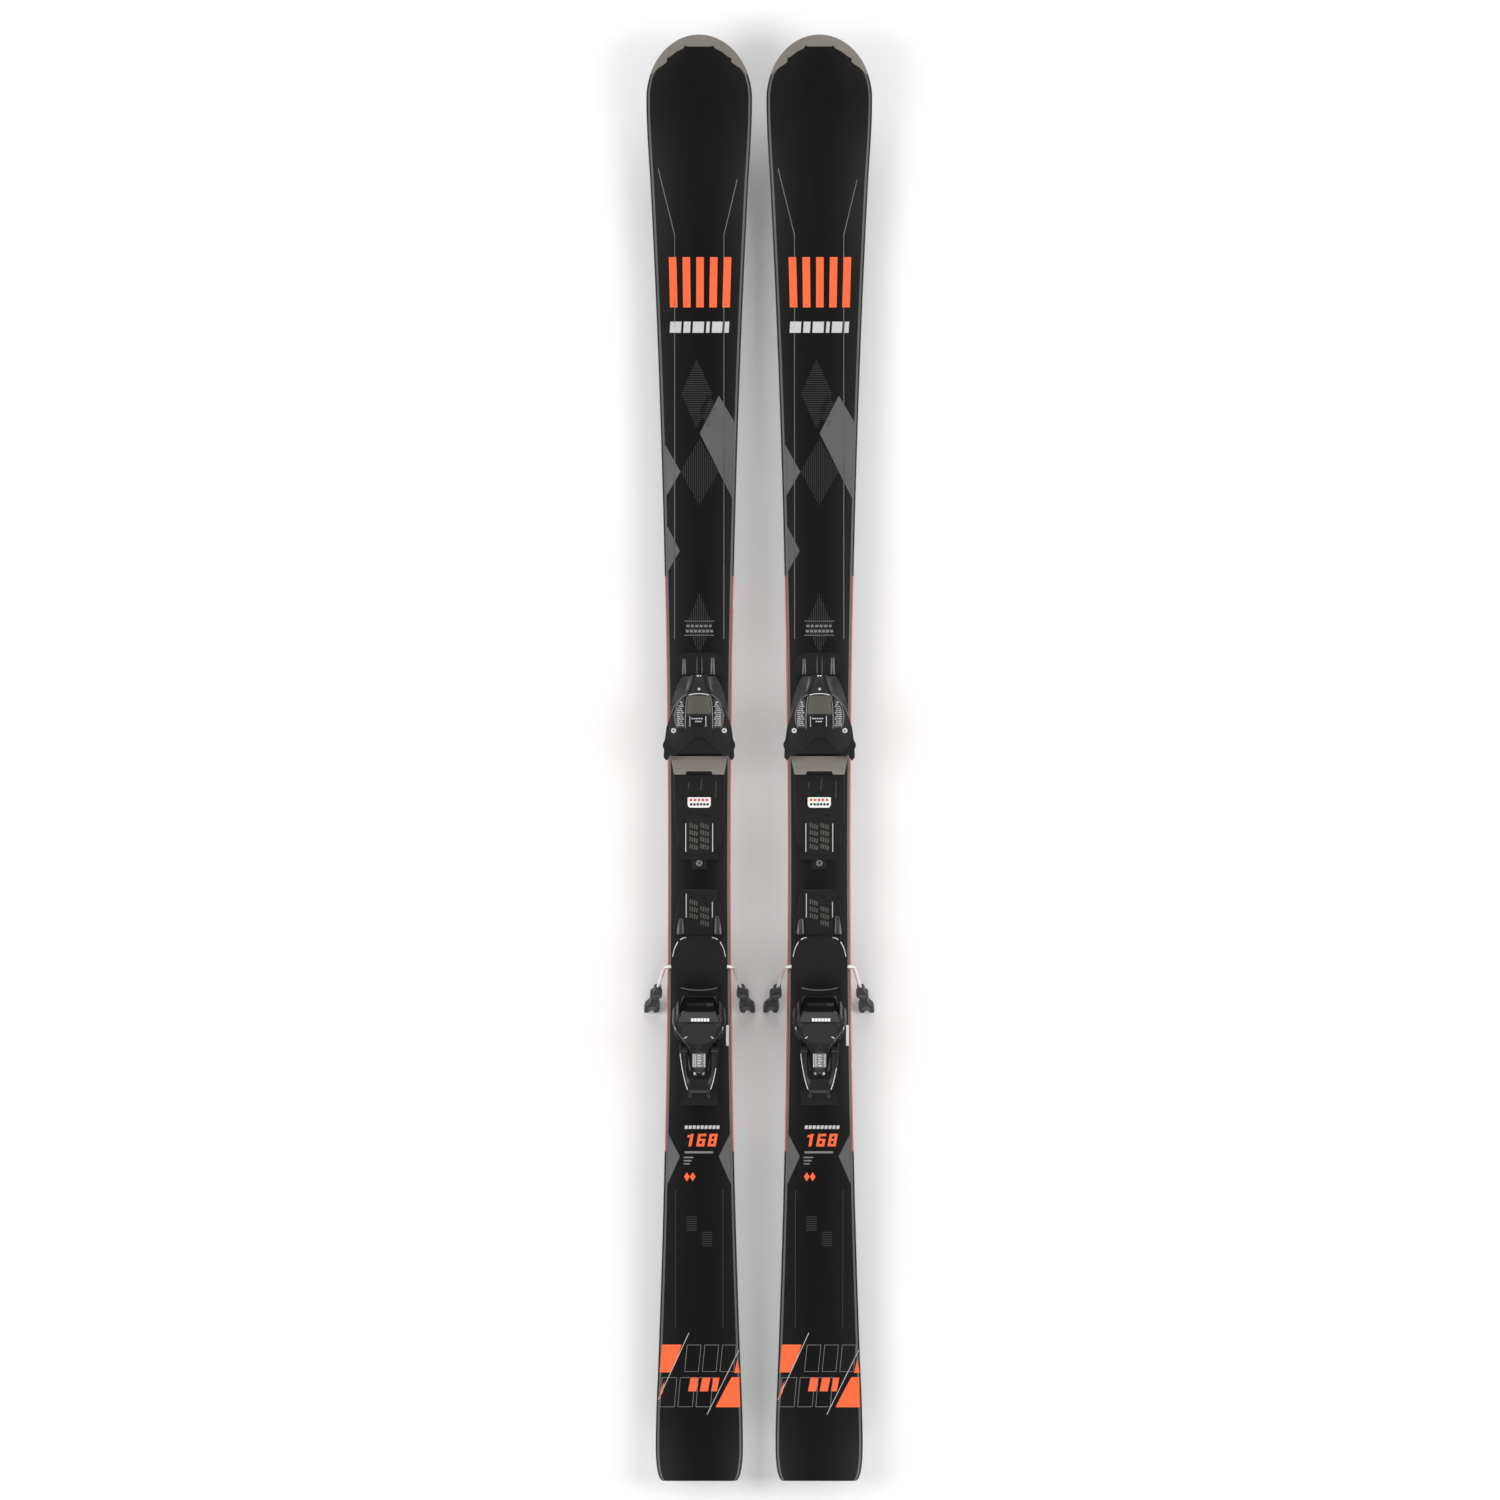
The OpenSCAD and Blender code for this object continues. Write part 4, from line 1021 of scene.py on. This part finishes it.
def heel_housing(side):
    y0, z0 = pivot(f"{side}_heel_step_in")
    tilt = joint(f"{side}_heel_step_in")["range_deg"][1]

    def local(points):
        return [(x, y0 + y, z0 + z) for x, y, z in points]

    def flat(points):
        return [(x, y0 + y) for x, y in points]

    def place(name, bm, material, slot, replaces=(), **options):
        rotate_x(bm, y0, z0, tilt)
        put(name, bm, side, material, "heel_housing", replaces, slot, **options)

    # the shell, lofted from the cup back to the release screw
    bm = bmesh.new()
    rings = []
    for y, half, low, top in ((27, 28.6, -6, 30.0), (25, 30.4, -6, 31.0), (20, 30.8, -6, 31.2),
                              (14, 29.2, -5.6, 31.0), (9, 26.4, -5, 30.4),
                              (3, 22.6, 4.2, 29.6), (-4, 18.8, 4.0, 28.6),
                              (-11, 15.6, 3.6, 27.4), (-18, 13.2, 3.4, 26.2),
                              (-34, 12.8, 3.2, 25.4), (-43, 12.2, 3.4, 24.6),
                              (-44, 10.8, 4.4, 23.4)):
        right = [(half * 0.8, low), (half, low + 3.0), (half, top - 8), (half - 0.8, top - 4.6),
                 (half - 2.8, top - 1.7), (half - 6.0, top)]
        ring = right + [(0, top + 0.25)] + [(-x, z) for x, z in reversed(right)]
        rings.append(local([(x, y, z) for x, z in ring]))
    ring_tube(bm, rings)
    disc(bm, (-18, y0, z0), (1, 0, 0), 7, 36, 40)
    place("heel_shell", bm, "plastic", "binding_plastic", ["heel_housing"], bevel=0.9, smooth=30)

    # treadle below, lip above and the cup wall between them
    bm = bmesh.new()
    tread = rounded(mirrored([(20, 20), (22, 27), (18, 39)]), 3)
    prism(bm, flat(tread), z0 - 11.6, z0 - 6.6)
    prism(bm, flat(rounded(mirrored([(25, 12), (25, 27)]), 2)), z0 - 11.6, z0 - 4)
    lip = rounded(mirrored([(24, 20), (24, 28), (18.5, 38)]), 4)
    prism(bm, flat(lip), z0 + 26.4, z0 + 30.9)
    for s in (-1, 1):
        wall = rounded([(s * 22.5, 24), (s * 27.5, 24), (s * 24.5, 33.5), (s * 21.6, 33.5)], 1.4)
        prism(bm, flat(wall), z0 - 7, z0 + 29)
    place("heel_cup", bm, "plastic", "binding_plastic", bevel=1.0)

    # raised shield on top, with its side ribs painted lighter as a sheen and slanted bright lines
    # that are painted highlights
    bm = bmesh.new()
    shield = rounded(mirrored([(12, -3), (20, 8), (22, 18), (17, 24)]), 4)
    prism(bm, flat(shield), z0 + 29, z0 + 31.9)
    place("heel_shield", bm, "slider", "binding_plastic", bevel=0.9)
    # side ribs in the lighter plastic that paints a sheen
    bm = bmesh.new()
    for s in (-1, 1):
        sweep(bm, curve(local([(s * 22.4, 1.5, 27.6), (s * 26.6, 8, 28.6), (s * 28.6, 16, 29.2)])),
              0.55, 8)
    place("heel_side_ribs", bm, "sheen", "binding_plastic")
    # slanted bright lines: painted highlights on the shield's edges
    bm = bmesh.new()
    for s in (-1, 1):
        sweep(bm, local([(s * 13.6, 6.8, 31.9), (s * 17.0, 4.6, 31.9)]), 0.55, 8)
        sweep(bm, local([(s * 27.2, 15, 30.1), (s * 27.6, 18.4, 30.2)]), 0.6, 8)
    place("heel_slanted_highlights", bm, "shine", "binding_plastic")

    # plate on the treadle with a lighter end, and the plain bar on the lip
    bm = bmesh.new()
    block(bm, -14, 17, y0 + 20, y0 + 31, z0 - 6.8, z0 - 6.2)
    block(bm, 9, 16.6, y0 + 20.4, y0 + 30.6, z0 - 6.3, z0 - 5.9, 1)
    place("treadle_inset", bm, ["faint", "scale"], "binding_plastic")
    bm = bmesh.new()
    for k in range(6):
        block(bm, -9 + 3.6 * k, -6 + 3.6 * k, y0 + 26, y0 + 30, z0 + 30.8, z0 + 31.15)
    place("heel_text_bars", bm, "mark", "binding_plastic")

    # scale over the release screw: white lines and marks on a dark bed
    def roof(x, y):
        return z0 + 26.9 + 0.045 * (y - y0 + 18)

    bm = bmesh.new()
    prism(bm, flat(rounded([(-8, -36.4), (8, -36.4), (8, -17.6), (-8, -17.6)], 1)),
          lambda x, y: roof(x, y) - 2, lambda x, y: roof(x, y) - 0.3)
    place("heel_scale_bed", bm, "dark", "binding_plastic", bevel=0.3)
    bm = bmesh.new()
    for x in (-6.6, -4.2, 6.2):
        prism(bm, flat([(x - 0.5, -35.6), (x + 0.5, -35.6), (x + 0.5, -18.4), (x - 0.5, -18.4)]),
              lambda x, y: roof(x, y) - 0.5, roof)
    for k in range(5):
        wide = 1.6 if k % 2 else 2.6
        prism(bm, flat([(-1.8, -34.6 + 3.3 * k), (wide, -34.6 + 3.3 * k), (wide, -32.9 + 3.3 * k),
                        (-1.8, -32.9 + 3.3 * k)]), lambda x, y: roof(x, y) - 0.5, roof)
    place("heel_scale_marks", bm, "white", "screw_steel")


LEVER_TILT = 6                      # free end below level, heel open


def heel_lever(side):
    """The horseshoe lever: a flat bar between an outer and an inner line."""
    y1, z1 = pivot(f"{side}_heel_lever_turn")
    end = size_of(f"{side}_heel_lever")[0].y + 0.6
    outer = curve([(22.4, y1 + 4, 0), (22.1, y1 - 8, 0), (20.2, y1 - 22, 0), (17, end + 14, 0),
                   (14.6, end + 6, 0), (12.6, end + 1.6, 0), (9.5, end, 0)], 4)
    inner = curve([(14.1, y1 + 4, 0), (14.1, y1 - 8, 0), (14, y1 - 20, 0), (13.7, end + 22, 0),
                   (12.4, end + 18, 0), (10.4, end + 16, 0), (8, end + 15.4, 0)], 4)
    outer += [Vector((-p.x, p.y, 0)) for p in reversed(outer)]
    inner += [Vector((-p.x, p.y, 0)) for p in reversed(inner)]
    bm = bmesh.new()
    rings = []
    for a, b in zip(outer, inner):
        t = (y1 - a.y) / (y1 - end)
        low, top = z1 - 3.8 + 0.6 * t, z1 + 4.6 - 1.6 * t
        section = [(0, low + 1), (0.14, low), (0.86, low), (1, low + 1), (1, top - 2.2),
                   (0.86, top - 1.0), (0.5, top - 0.3), (0.14, top), (0, top - 1.2)]
        rings.append([(*a.lerp(b, u).xy, z) for u, z in section])
    ring_tube(bm, rings)
    for s in (-1, 1):
        disc(bm, (s * 14.1, y1, z1), (s, 0, 0), 6.3, 8.3, 32, edge=0.8)
    rotate_x(bm, y1, z1, LEVER_TILT)
    put("lever", bm, side, "plastic", "heel_lever", ["heel_lever"], "lever_plastic",
        smooth=40)
    # bright lines along the lever's outer rim: painted highlights
    bm = bmesh.new()
    for s, start in ((-1, y1 - 2), (1, y1 - 20)):
        line_up = [p for p in outer[:len(outer) // 2] if end + 4 < p.y < start]
        sweep(bm, [(s * (p.x - 0.7), p.y, z1 + 5.0 - 1.6 * (y1 - p.y) / (y1 - end))
                   for p in line_up], 0.5, 8)
    rotate_x(bm, y1, z1, LEVER_TILT)
    put("lever_rib_highlights", bm, side, "shine", "heel_lever", slot="lever_plastic")


def coil(side, name, node, body, centre, length, about=None, tilt=0.0):
    """A compression spring as a true helix along Y, with closed ends."""
    x, y, z = centre
    radius, wire, turns, steps = 6.6, 2.6, 9, 26
    path = []
    for i in range(turns * steps + 1):
        a = 2 * math.pi * i / steps
        u = i / (turns * steps)
        d = wire / 2 + (length - wire) * (u - 0.045 * math.sin(2 * math.pi * u))
        path.append((x + radius * math.cos(a), y + d, z + radius * math.sin(a)))
    bm = bmesh.new()
    sweep(bm, path, wire / 2, 10)
    if about:
        rotate_x(bm, about[0], about[1], tilt)
    put(name, bm, side, "spring", body, [node], "spring_steel")


# ---------------------------------------------------------------- ski brake
WIRE_R = 2.0
CRANK_X, ARM_X = 16.5, 40.2         # the wire's two bends from the ski's centre line
SPLAY = 0.167                       # outward run of an arm per millimetre


def brake(side):
    y0, z0 = pivot(f"{side}_brake_swing")
    drop = joint(f"{side}_brake_swing")["range_deg"][1]
    bar_y, bar_z = 26 * math.cos(math.radians(20)), 26 * math.sin(math.radians(20))
    half = [(CRANK_X, bar_y, bar_z), (CRANK_X, 0, 0), (ARM_X, 0, 0),
            (ARM_X + SPLAY * 86, -86, 0)]
    left = [(-x, y, z) for x, y, z in reversed(half)]
    path = fillet_path([(x, y0 + y, z0 + z) for x, y, z in left + half], 8, 8)
    bm = bmesh.new()
    sweep(bm, path, WIRE_R, 18)
    rotate_x(bm, y0, z0, drop)
    put("brake_wire", bm, side, "chrome", "brake", ["brake_arms"], "brake_wire")

    bm = bmesh.new()
    for s in (-1, 1):
        def foot(u, v):
            return (s * (ARM_X + SPLAY * u + v), y0 - u)

        def plate(points, half_t, material=0):
            shape = rounded([foot(u, v) for u, v in points], 1.2, 3)
            prism(bm, shape, z0 - half_t, z0 + half_t, material)

        right = [(46, 3.2), (50, 4.4), (56, 4.4), (58.5, 6.8), (64, 6.8), (67, 4.6), (75, 4.6),
                 (80, 5.4), (87, 8.6), (96, 8.8), (99.8, 7.4), (99.8, 3.6), (95, 2.2), (94, 0)]
        plate(right + [(u, -v) for u, v in reversed(right[:-1])], 4.0)
        for u in (52, 70.5, 76.5):
            plate([(u, -4), (u, 4), (u + 1.8, 4), (u + 1.8, -4)], 4.4)
        plate([(84, -2.4), (84, 2.4), (92, 5.4), (92, -5.4)], 4.5, 1)
        plate([(58, -4.4), (58, 4.4), (63, 4.4), (63, -4.4)], 4.5, 1)
    rotate_x(bm, y0, z0, drop)
    put("brake_foot_pair", bm, side, ["foot", "scale"], "brake", ["brake_feet"],
        "foot_plastic", bevel=0.7)


PAD_TILT = 15                       # pad tipped up from level, brake open


def brake_pad(side):
    y1, z1 = pivot(f"{side}_brake_pad_tilt")
    edge = [(17, 32.6), (24, 28.6), (28.6, 20), (31.6, 9), (32.5, 0), (31.6, -9), (28.6, -19),
            (24.4, -27), (17, -32.6)]
    shape = [(p.x, p.y) for p in curve([(x, y, 0) for x, y in edge], 4)]
    shape += [(-x, y) for x, y in reversed(shape)]
    bm = bmesh.new()
    domed(bm, [(x, y1 + y) for x, y in shape], z1 + 2.75,
          lambda x, y: z1 + 4.9 - 0.0009 * (x * x + (y - y1) ** 2))
    block(bm, -12, 12, y1 - 5, y1 + 5, z1 - 4, z1 + 3)
    rotate_x(bm, y1, z1, PAD_TILT)
    put("pedal", bm, side, "pad", "brake_pad", ["brake_pad"], "pad_plastic", bevel=0.9)
    # bright arcs on the pad's front corners: painted highlights
    bm = bmesh.new()
    for s in (-1, 1):
        sweep(bm, curve([(s * 30.6, y1 + 8, z1 + 3.7), (s * 28.2, y1 + 18, z1 + 3.7),
                         (s * 24.4, y1 + 26, z1 + 3.8)]), 0.6, 8)
        sweep(bm, curve([(s * 21.4, y1 + 28.6, z1 + 3.8), (s * 18.4, y1 + 30.6, z1 + 3.9),
                         (s * 15, y1 + 31.2, z1 + 3.9)]), 0.5, 8)
    rotate_x(bm, y1, z1, PAD_TILT)
    put("pedal_rim_highlight", bm, side, "shine", "brake_pad", slot="pad_plastic")
    bm = bmesh.new()
    sweep(bm, curve([(-21, y1 - 29.4, z1 + 3.7), (-11, y1 - 31.6, z1 + 3.9),
                     (0, y1 - 32.2, z1 + 4.0), (11, y1 - 31.6, z1 + 3.9),
                     (21, y1 - 29.4, z1 + 3.7)]), 0.7, 8)
    rotate_x(bm, y1, z1, PAD_TILT)
    put("pedal_rear_rim", bm, side, "rib", "brake_pad", slot="pad_plastic")


def front_plate(side):
    """Ribs on the front rail's cap, painted lighter as a painted sheen, and the side label by the
    heel piece.
    """
    bm = bmesh.new()
    for x, w, y1 in ((-17.5, 2.2, 117), (-2.6, 0.8, 120), (3.2, 0.8, 120), (15.6, 2.6, 118)):
        outline = rounded([(x - w, 98.5), (x + w, 98.5), (x + w * 0.7, y1), (x - w * 0.7, y1)],
                          0.7)
        domed(bm, outline, 6.6, lambda u, v: 8.0 - 0.12 * (u - x) ** 2)
    put("plate_ribs", bm, side, "sheen", "ski", slot="rail_plastic", bevel=0.25,
        segments=2)
    bm = bmesh.new()
    block(bm, 31.2, 34.4, -332, -308, -0.03, 0.14)
    put("side_label", bm, side, "mark", "ski", slot="topsheet")


def screw_head(bm, x, y):
    disc(bm, (x, y, 2), (0, 0, 1), 3.9, 2.3, 28, edge=0.5)


def rail_screws(side):
    """One bright screw between the rails; the others are black and mostly covered."""
    bm = bmesh.new()
    screw_head(bm, 0, -120)
    put("middle_screw", bm, side, "spring", "ski", ["rail_screws"], "screw_steel")
    # dark bars on the screw head: painted shade standing in for the slot
    bm = bmesh.new()
    block(bm, -2.2, 2.2, -120.5, -119.5, 4.1, 4.4)
    block(bm, -0.5, 0.5, -122.2, -117.8, 4.1, 4.4)
    put("middle_screw_slot_shade", bm, side, "dark", "ski", slot="screw_steel")
    bm = bmesh.new()
    for x in (-11, 11):
        for y in (86, 20, -100, -162, -300, -390):
            screw_head(bm, x, y)
    put("black_screws", bm, side, "foot", "ski", slot="screw_steel")


# ---------------------------------------------------------------- building both skis
CARRIED = {
    "core": "wood", "rails": "slider", "toe_screw": "screw", "toe_indicator": "red",
    "heel_base": "slider", "heel_axle": "screw", "heel_screw": "screw", "heel_indicator": "red",
}


def tidy_cad(side):
    """Better materials and rounded edges on the CAD nodes that stay."""
    for node, key in CARRIED.items():
        obj = frame["nodes"][f"{side}_{node}"]
        obj.data.materials.clear()
        obj.data.materials.append(MAT[key])
        weld = obj.modifiers.new("weld", "WELD")
        weld.merge_threshold = 2e-6
        flat = obj.modifiers.new("flat", "DECIMATE")
        flat.decimate_type = "DISSOLVE"
        flat.angle_limit = math.radians(0.5)
        if node in ("rails", "heel_base"):
            soften(obj, 0.6, 2)


def build(side):
    ski_base(side)
    ski_edges(side)
    ski_walls(side)
    ski_top(side)
    ski_protector(side)
    front_print(side)
    rear_print(side)
    front_plate(side)
    rail_screws(side)
    toe_slider(side)
    toe_housing(side)
    toe_wing(side, "left")
    toe_wing(side, "right")
    toe_screws(side)
    afd(side)
    heel_slider(side)
    heel_housing(side)
    heel_lever(side)
    brake(side)
    brake_pad(side)
    coil(side, "toe_helix", "toe_spring", "toe", (0, 27, 36.7), 47)
    y0, z0 = pivot(f"{side}_heel_step_in")
    tilt = joint(f"{side}_heel_step_in")["range_deg"][1]
    coil(side, "heel_helix", "heel_spring", "heel_housing", (0, y0 - 36, z0 + 13), 48,
         (y0, z0), tilt)
    tidy_cad(side)


for ski in ("left", "right"):
    build(ski)


# ---------------------------------------------------------------- stage, light and camera
def stage():
    bpy.ops.mesh.primitive_plane_add(size=12, location=(0, 0, cad_lo.z - 0.0005))
    floor = bpy.context.object
    floor.name = "floor"
    mat = bpy.data.materials.new("floor_white")
    mat.use_nodes = True
    bsdf = mat.node_tree.nodes["Principled BSDF"]
    bsdf.inputs["Base Color"].default_value = (0.93, 0.93, 0.93, 1)
    bsdf.inputs["Roughness"].default_value = 0.9
    floor.data.materials.append(mat)


def lamp(name, place, aim, size, power):
    data = bpy.data.lights.new(name, "AREA")
    data.shape = "RECTANGLE"
    data.size, data.size_y = size
    data.energy = power
    obj = bpy.data.objects.new(name, data)
    obj.location = place
    obj.rotation_mode = "QUATERNION"
    obj.rotation_quaternion = (Vector(aim) - Vector(place)).to_track_quat("-Z", "Y")
    bpy.context.scene.collection.objects.link(obj)


def lights():
    world = bpy.data.worlds.new("studio")
    bpy.context.scene.world = world
    world.use_nodes = True
    world.node_tree.nodes["Background"].inputs["Color"].default_value = (1, 1, 1, 1)
    world.node_tree.nodes["Background"].inputs["Strength"].default_value = 0.18
    for s in (-1, 1):
        lamp(f"side_{s}", (2.6 * s, 0, 2.5), (0, 0, 0), (1.6, 4.0), 82)
    lamp("head", (0, 3.0, 2.2), (0, 0.2, 0), (3.0, 1.4), 52)
    lamp("foot", (0, -3.0, 2.2), (0, -0.2, 0), (3.0, 1.4), 43)


def camera():
    """Straight down, image up along the skis, from far away with a long lens."""
    data = bpy.data.cameras.new("camera")
    data.sensor_width = 36
    data.lens = 200
    view_width = 1.740
    distance = data.lens / data.sensor_width * view_width
    obj = bpy.data.objects.new("camera", data)
    obj.location = (-0.0107, 0.011, DECK_Z * MM + distance)
    obj.rotation_euler = (0, 0, 0)
    data.clip_end = 100
    bpy.context.scene.collection.objects.link(obj)
    bpy.context.scene.camera = obj


stage()
lights()
camera()
bpy.context.scene.view_settings.view_transform = "Standard"
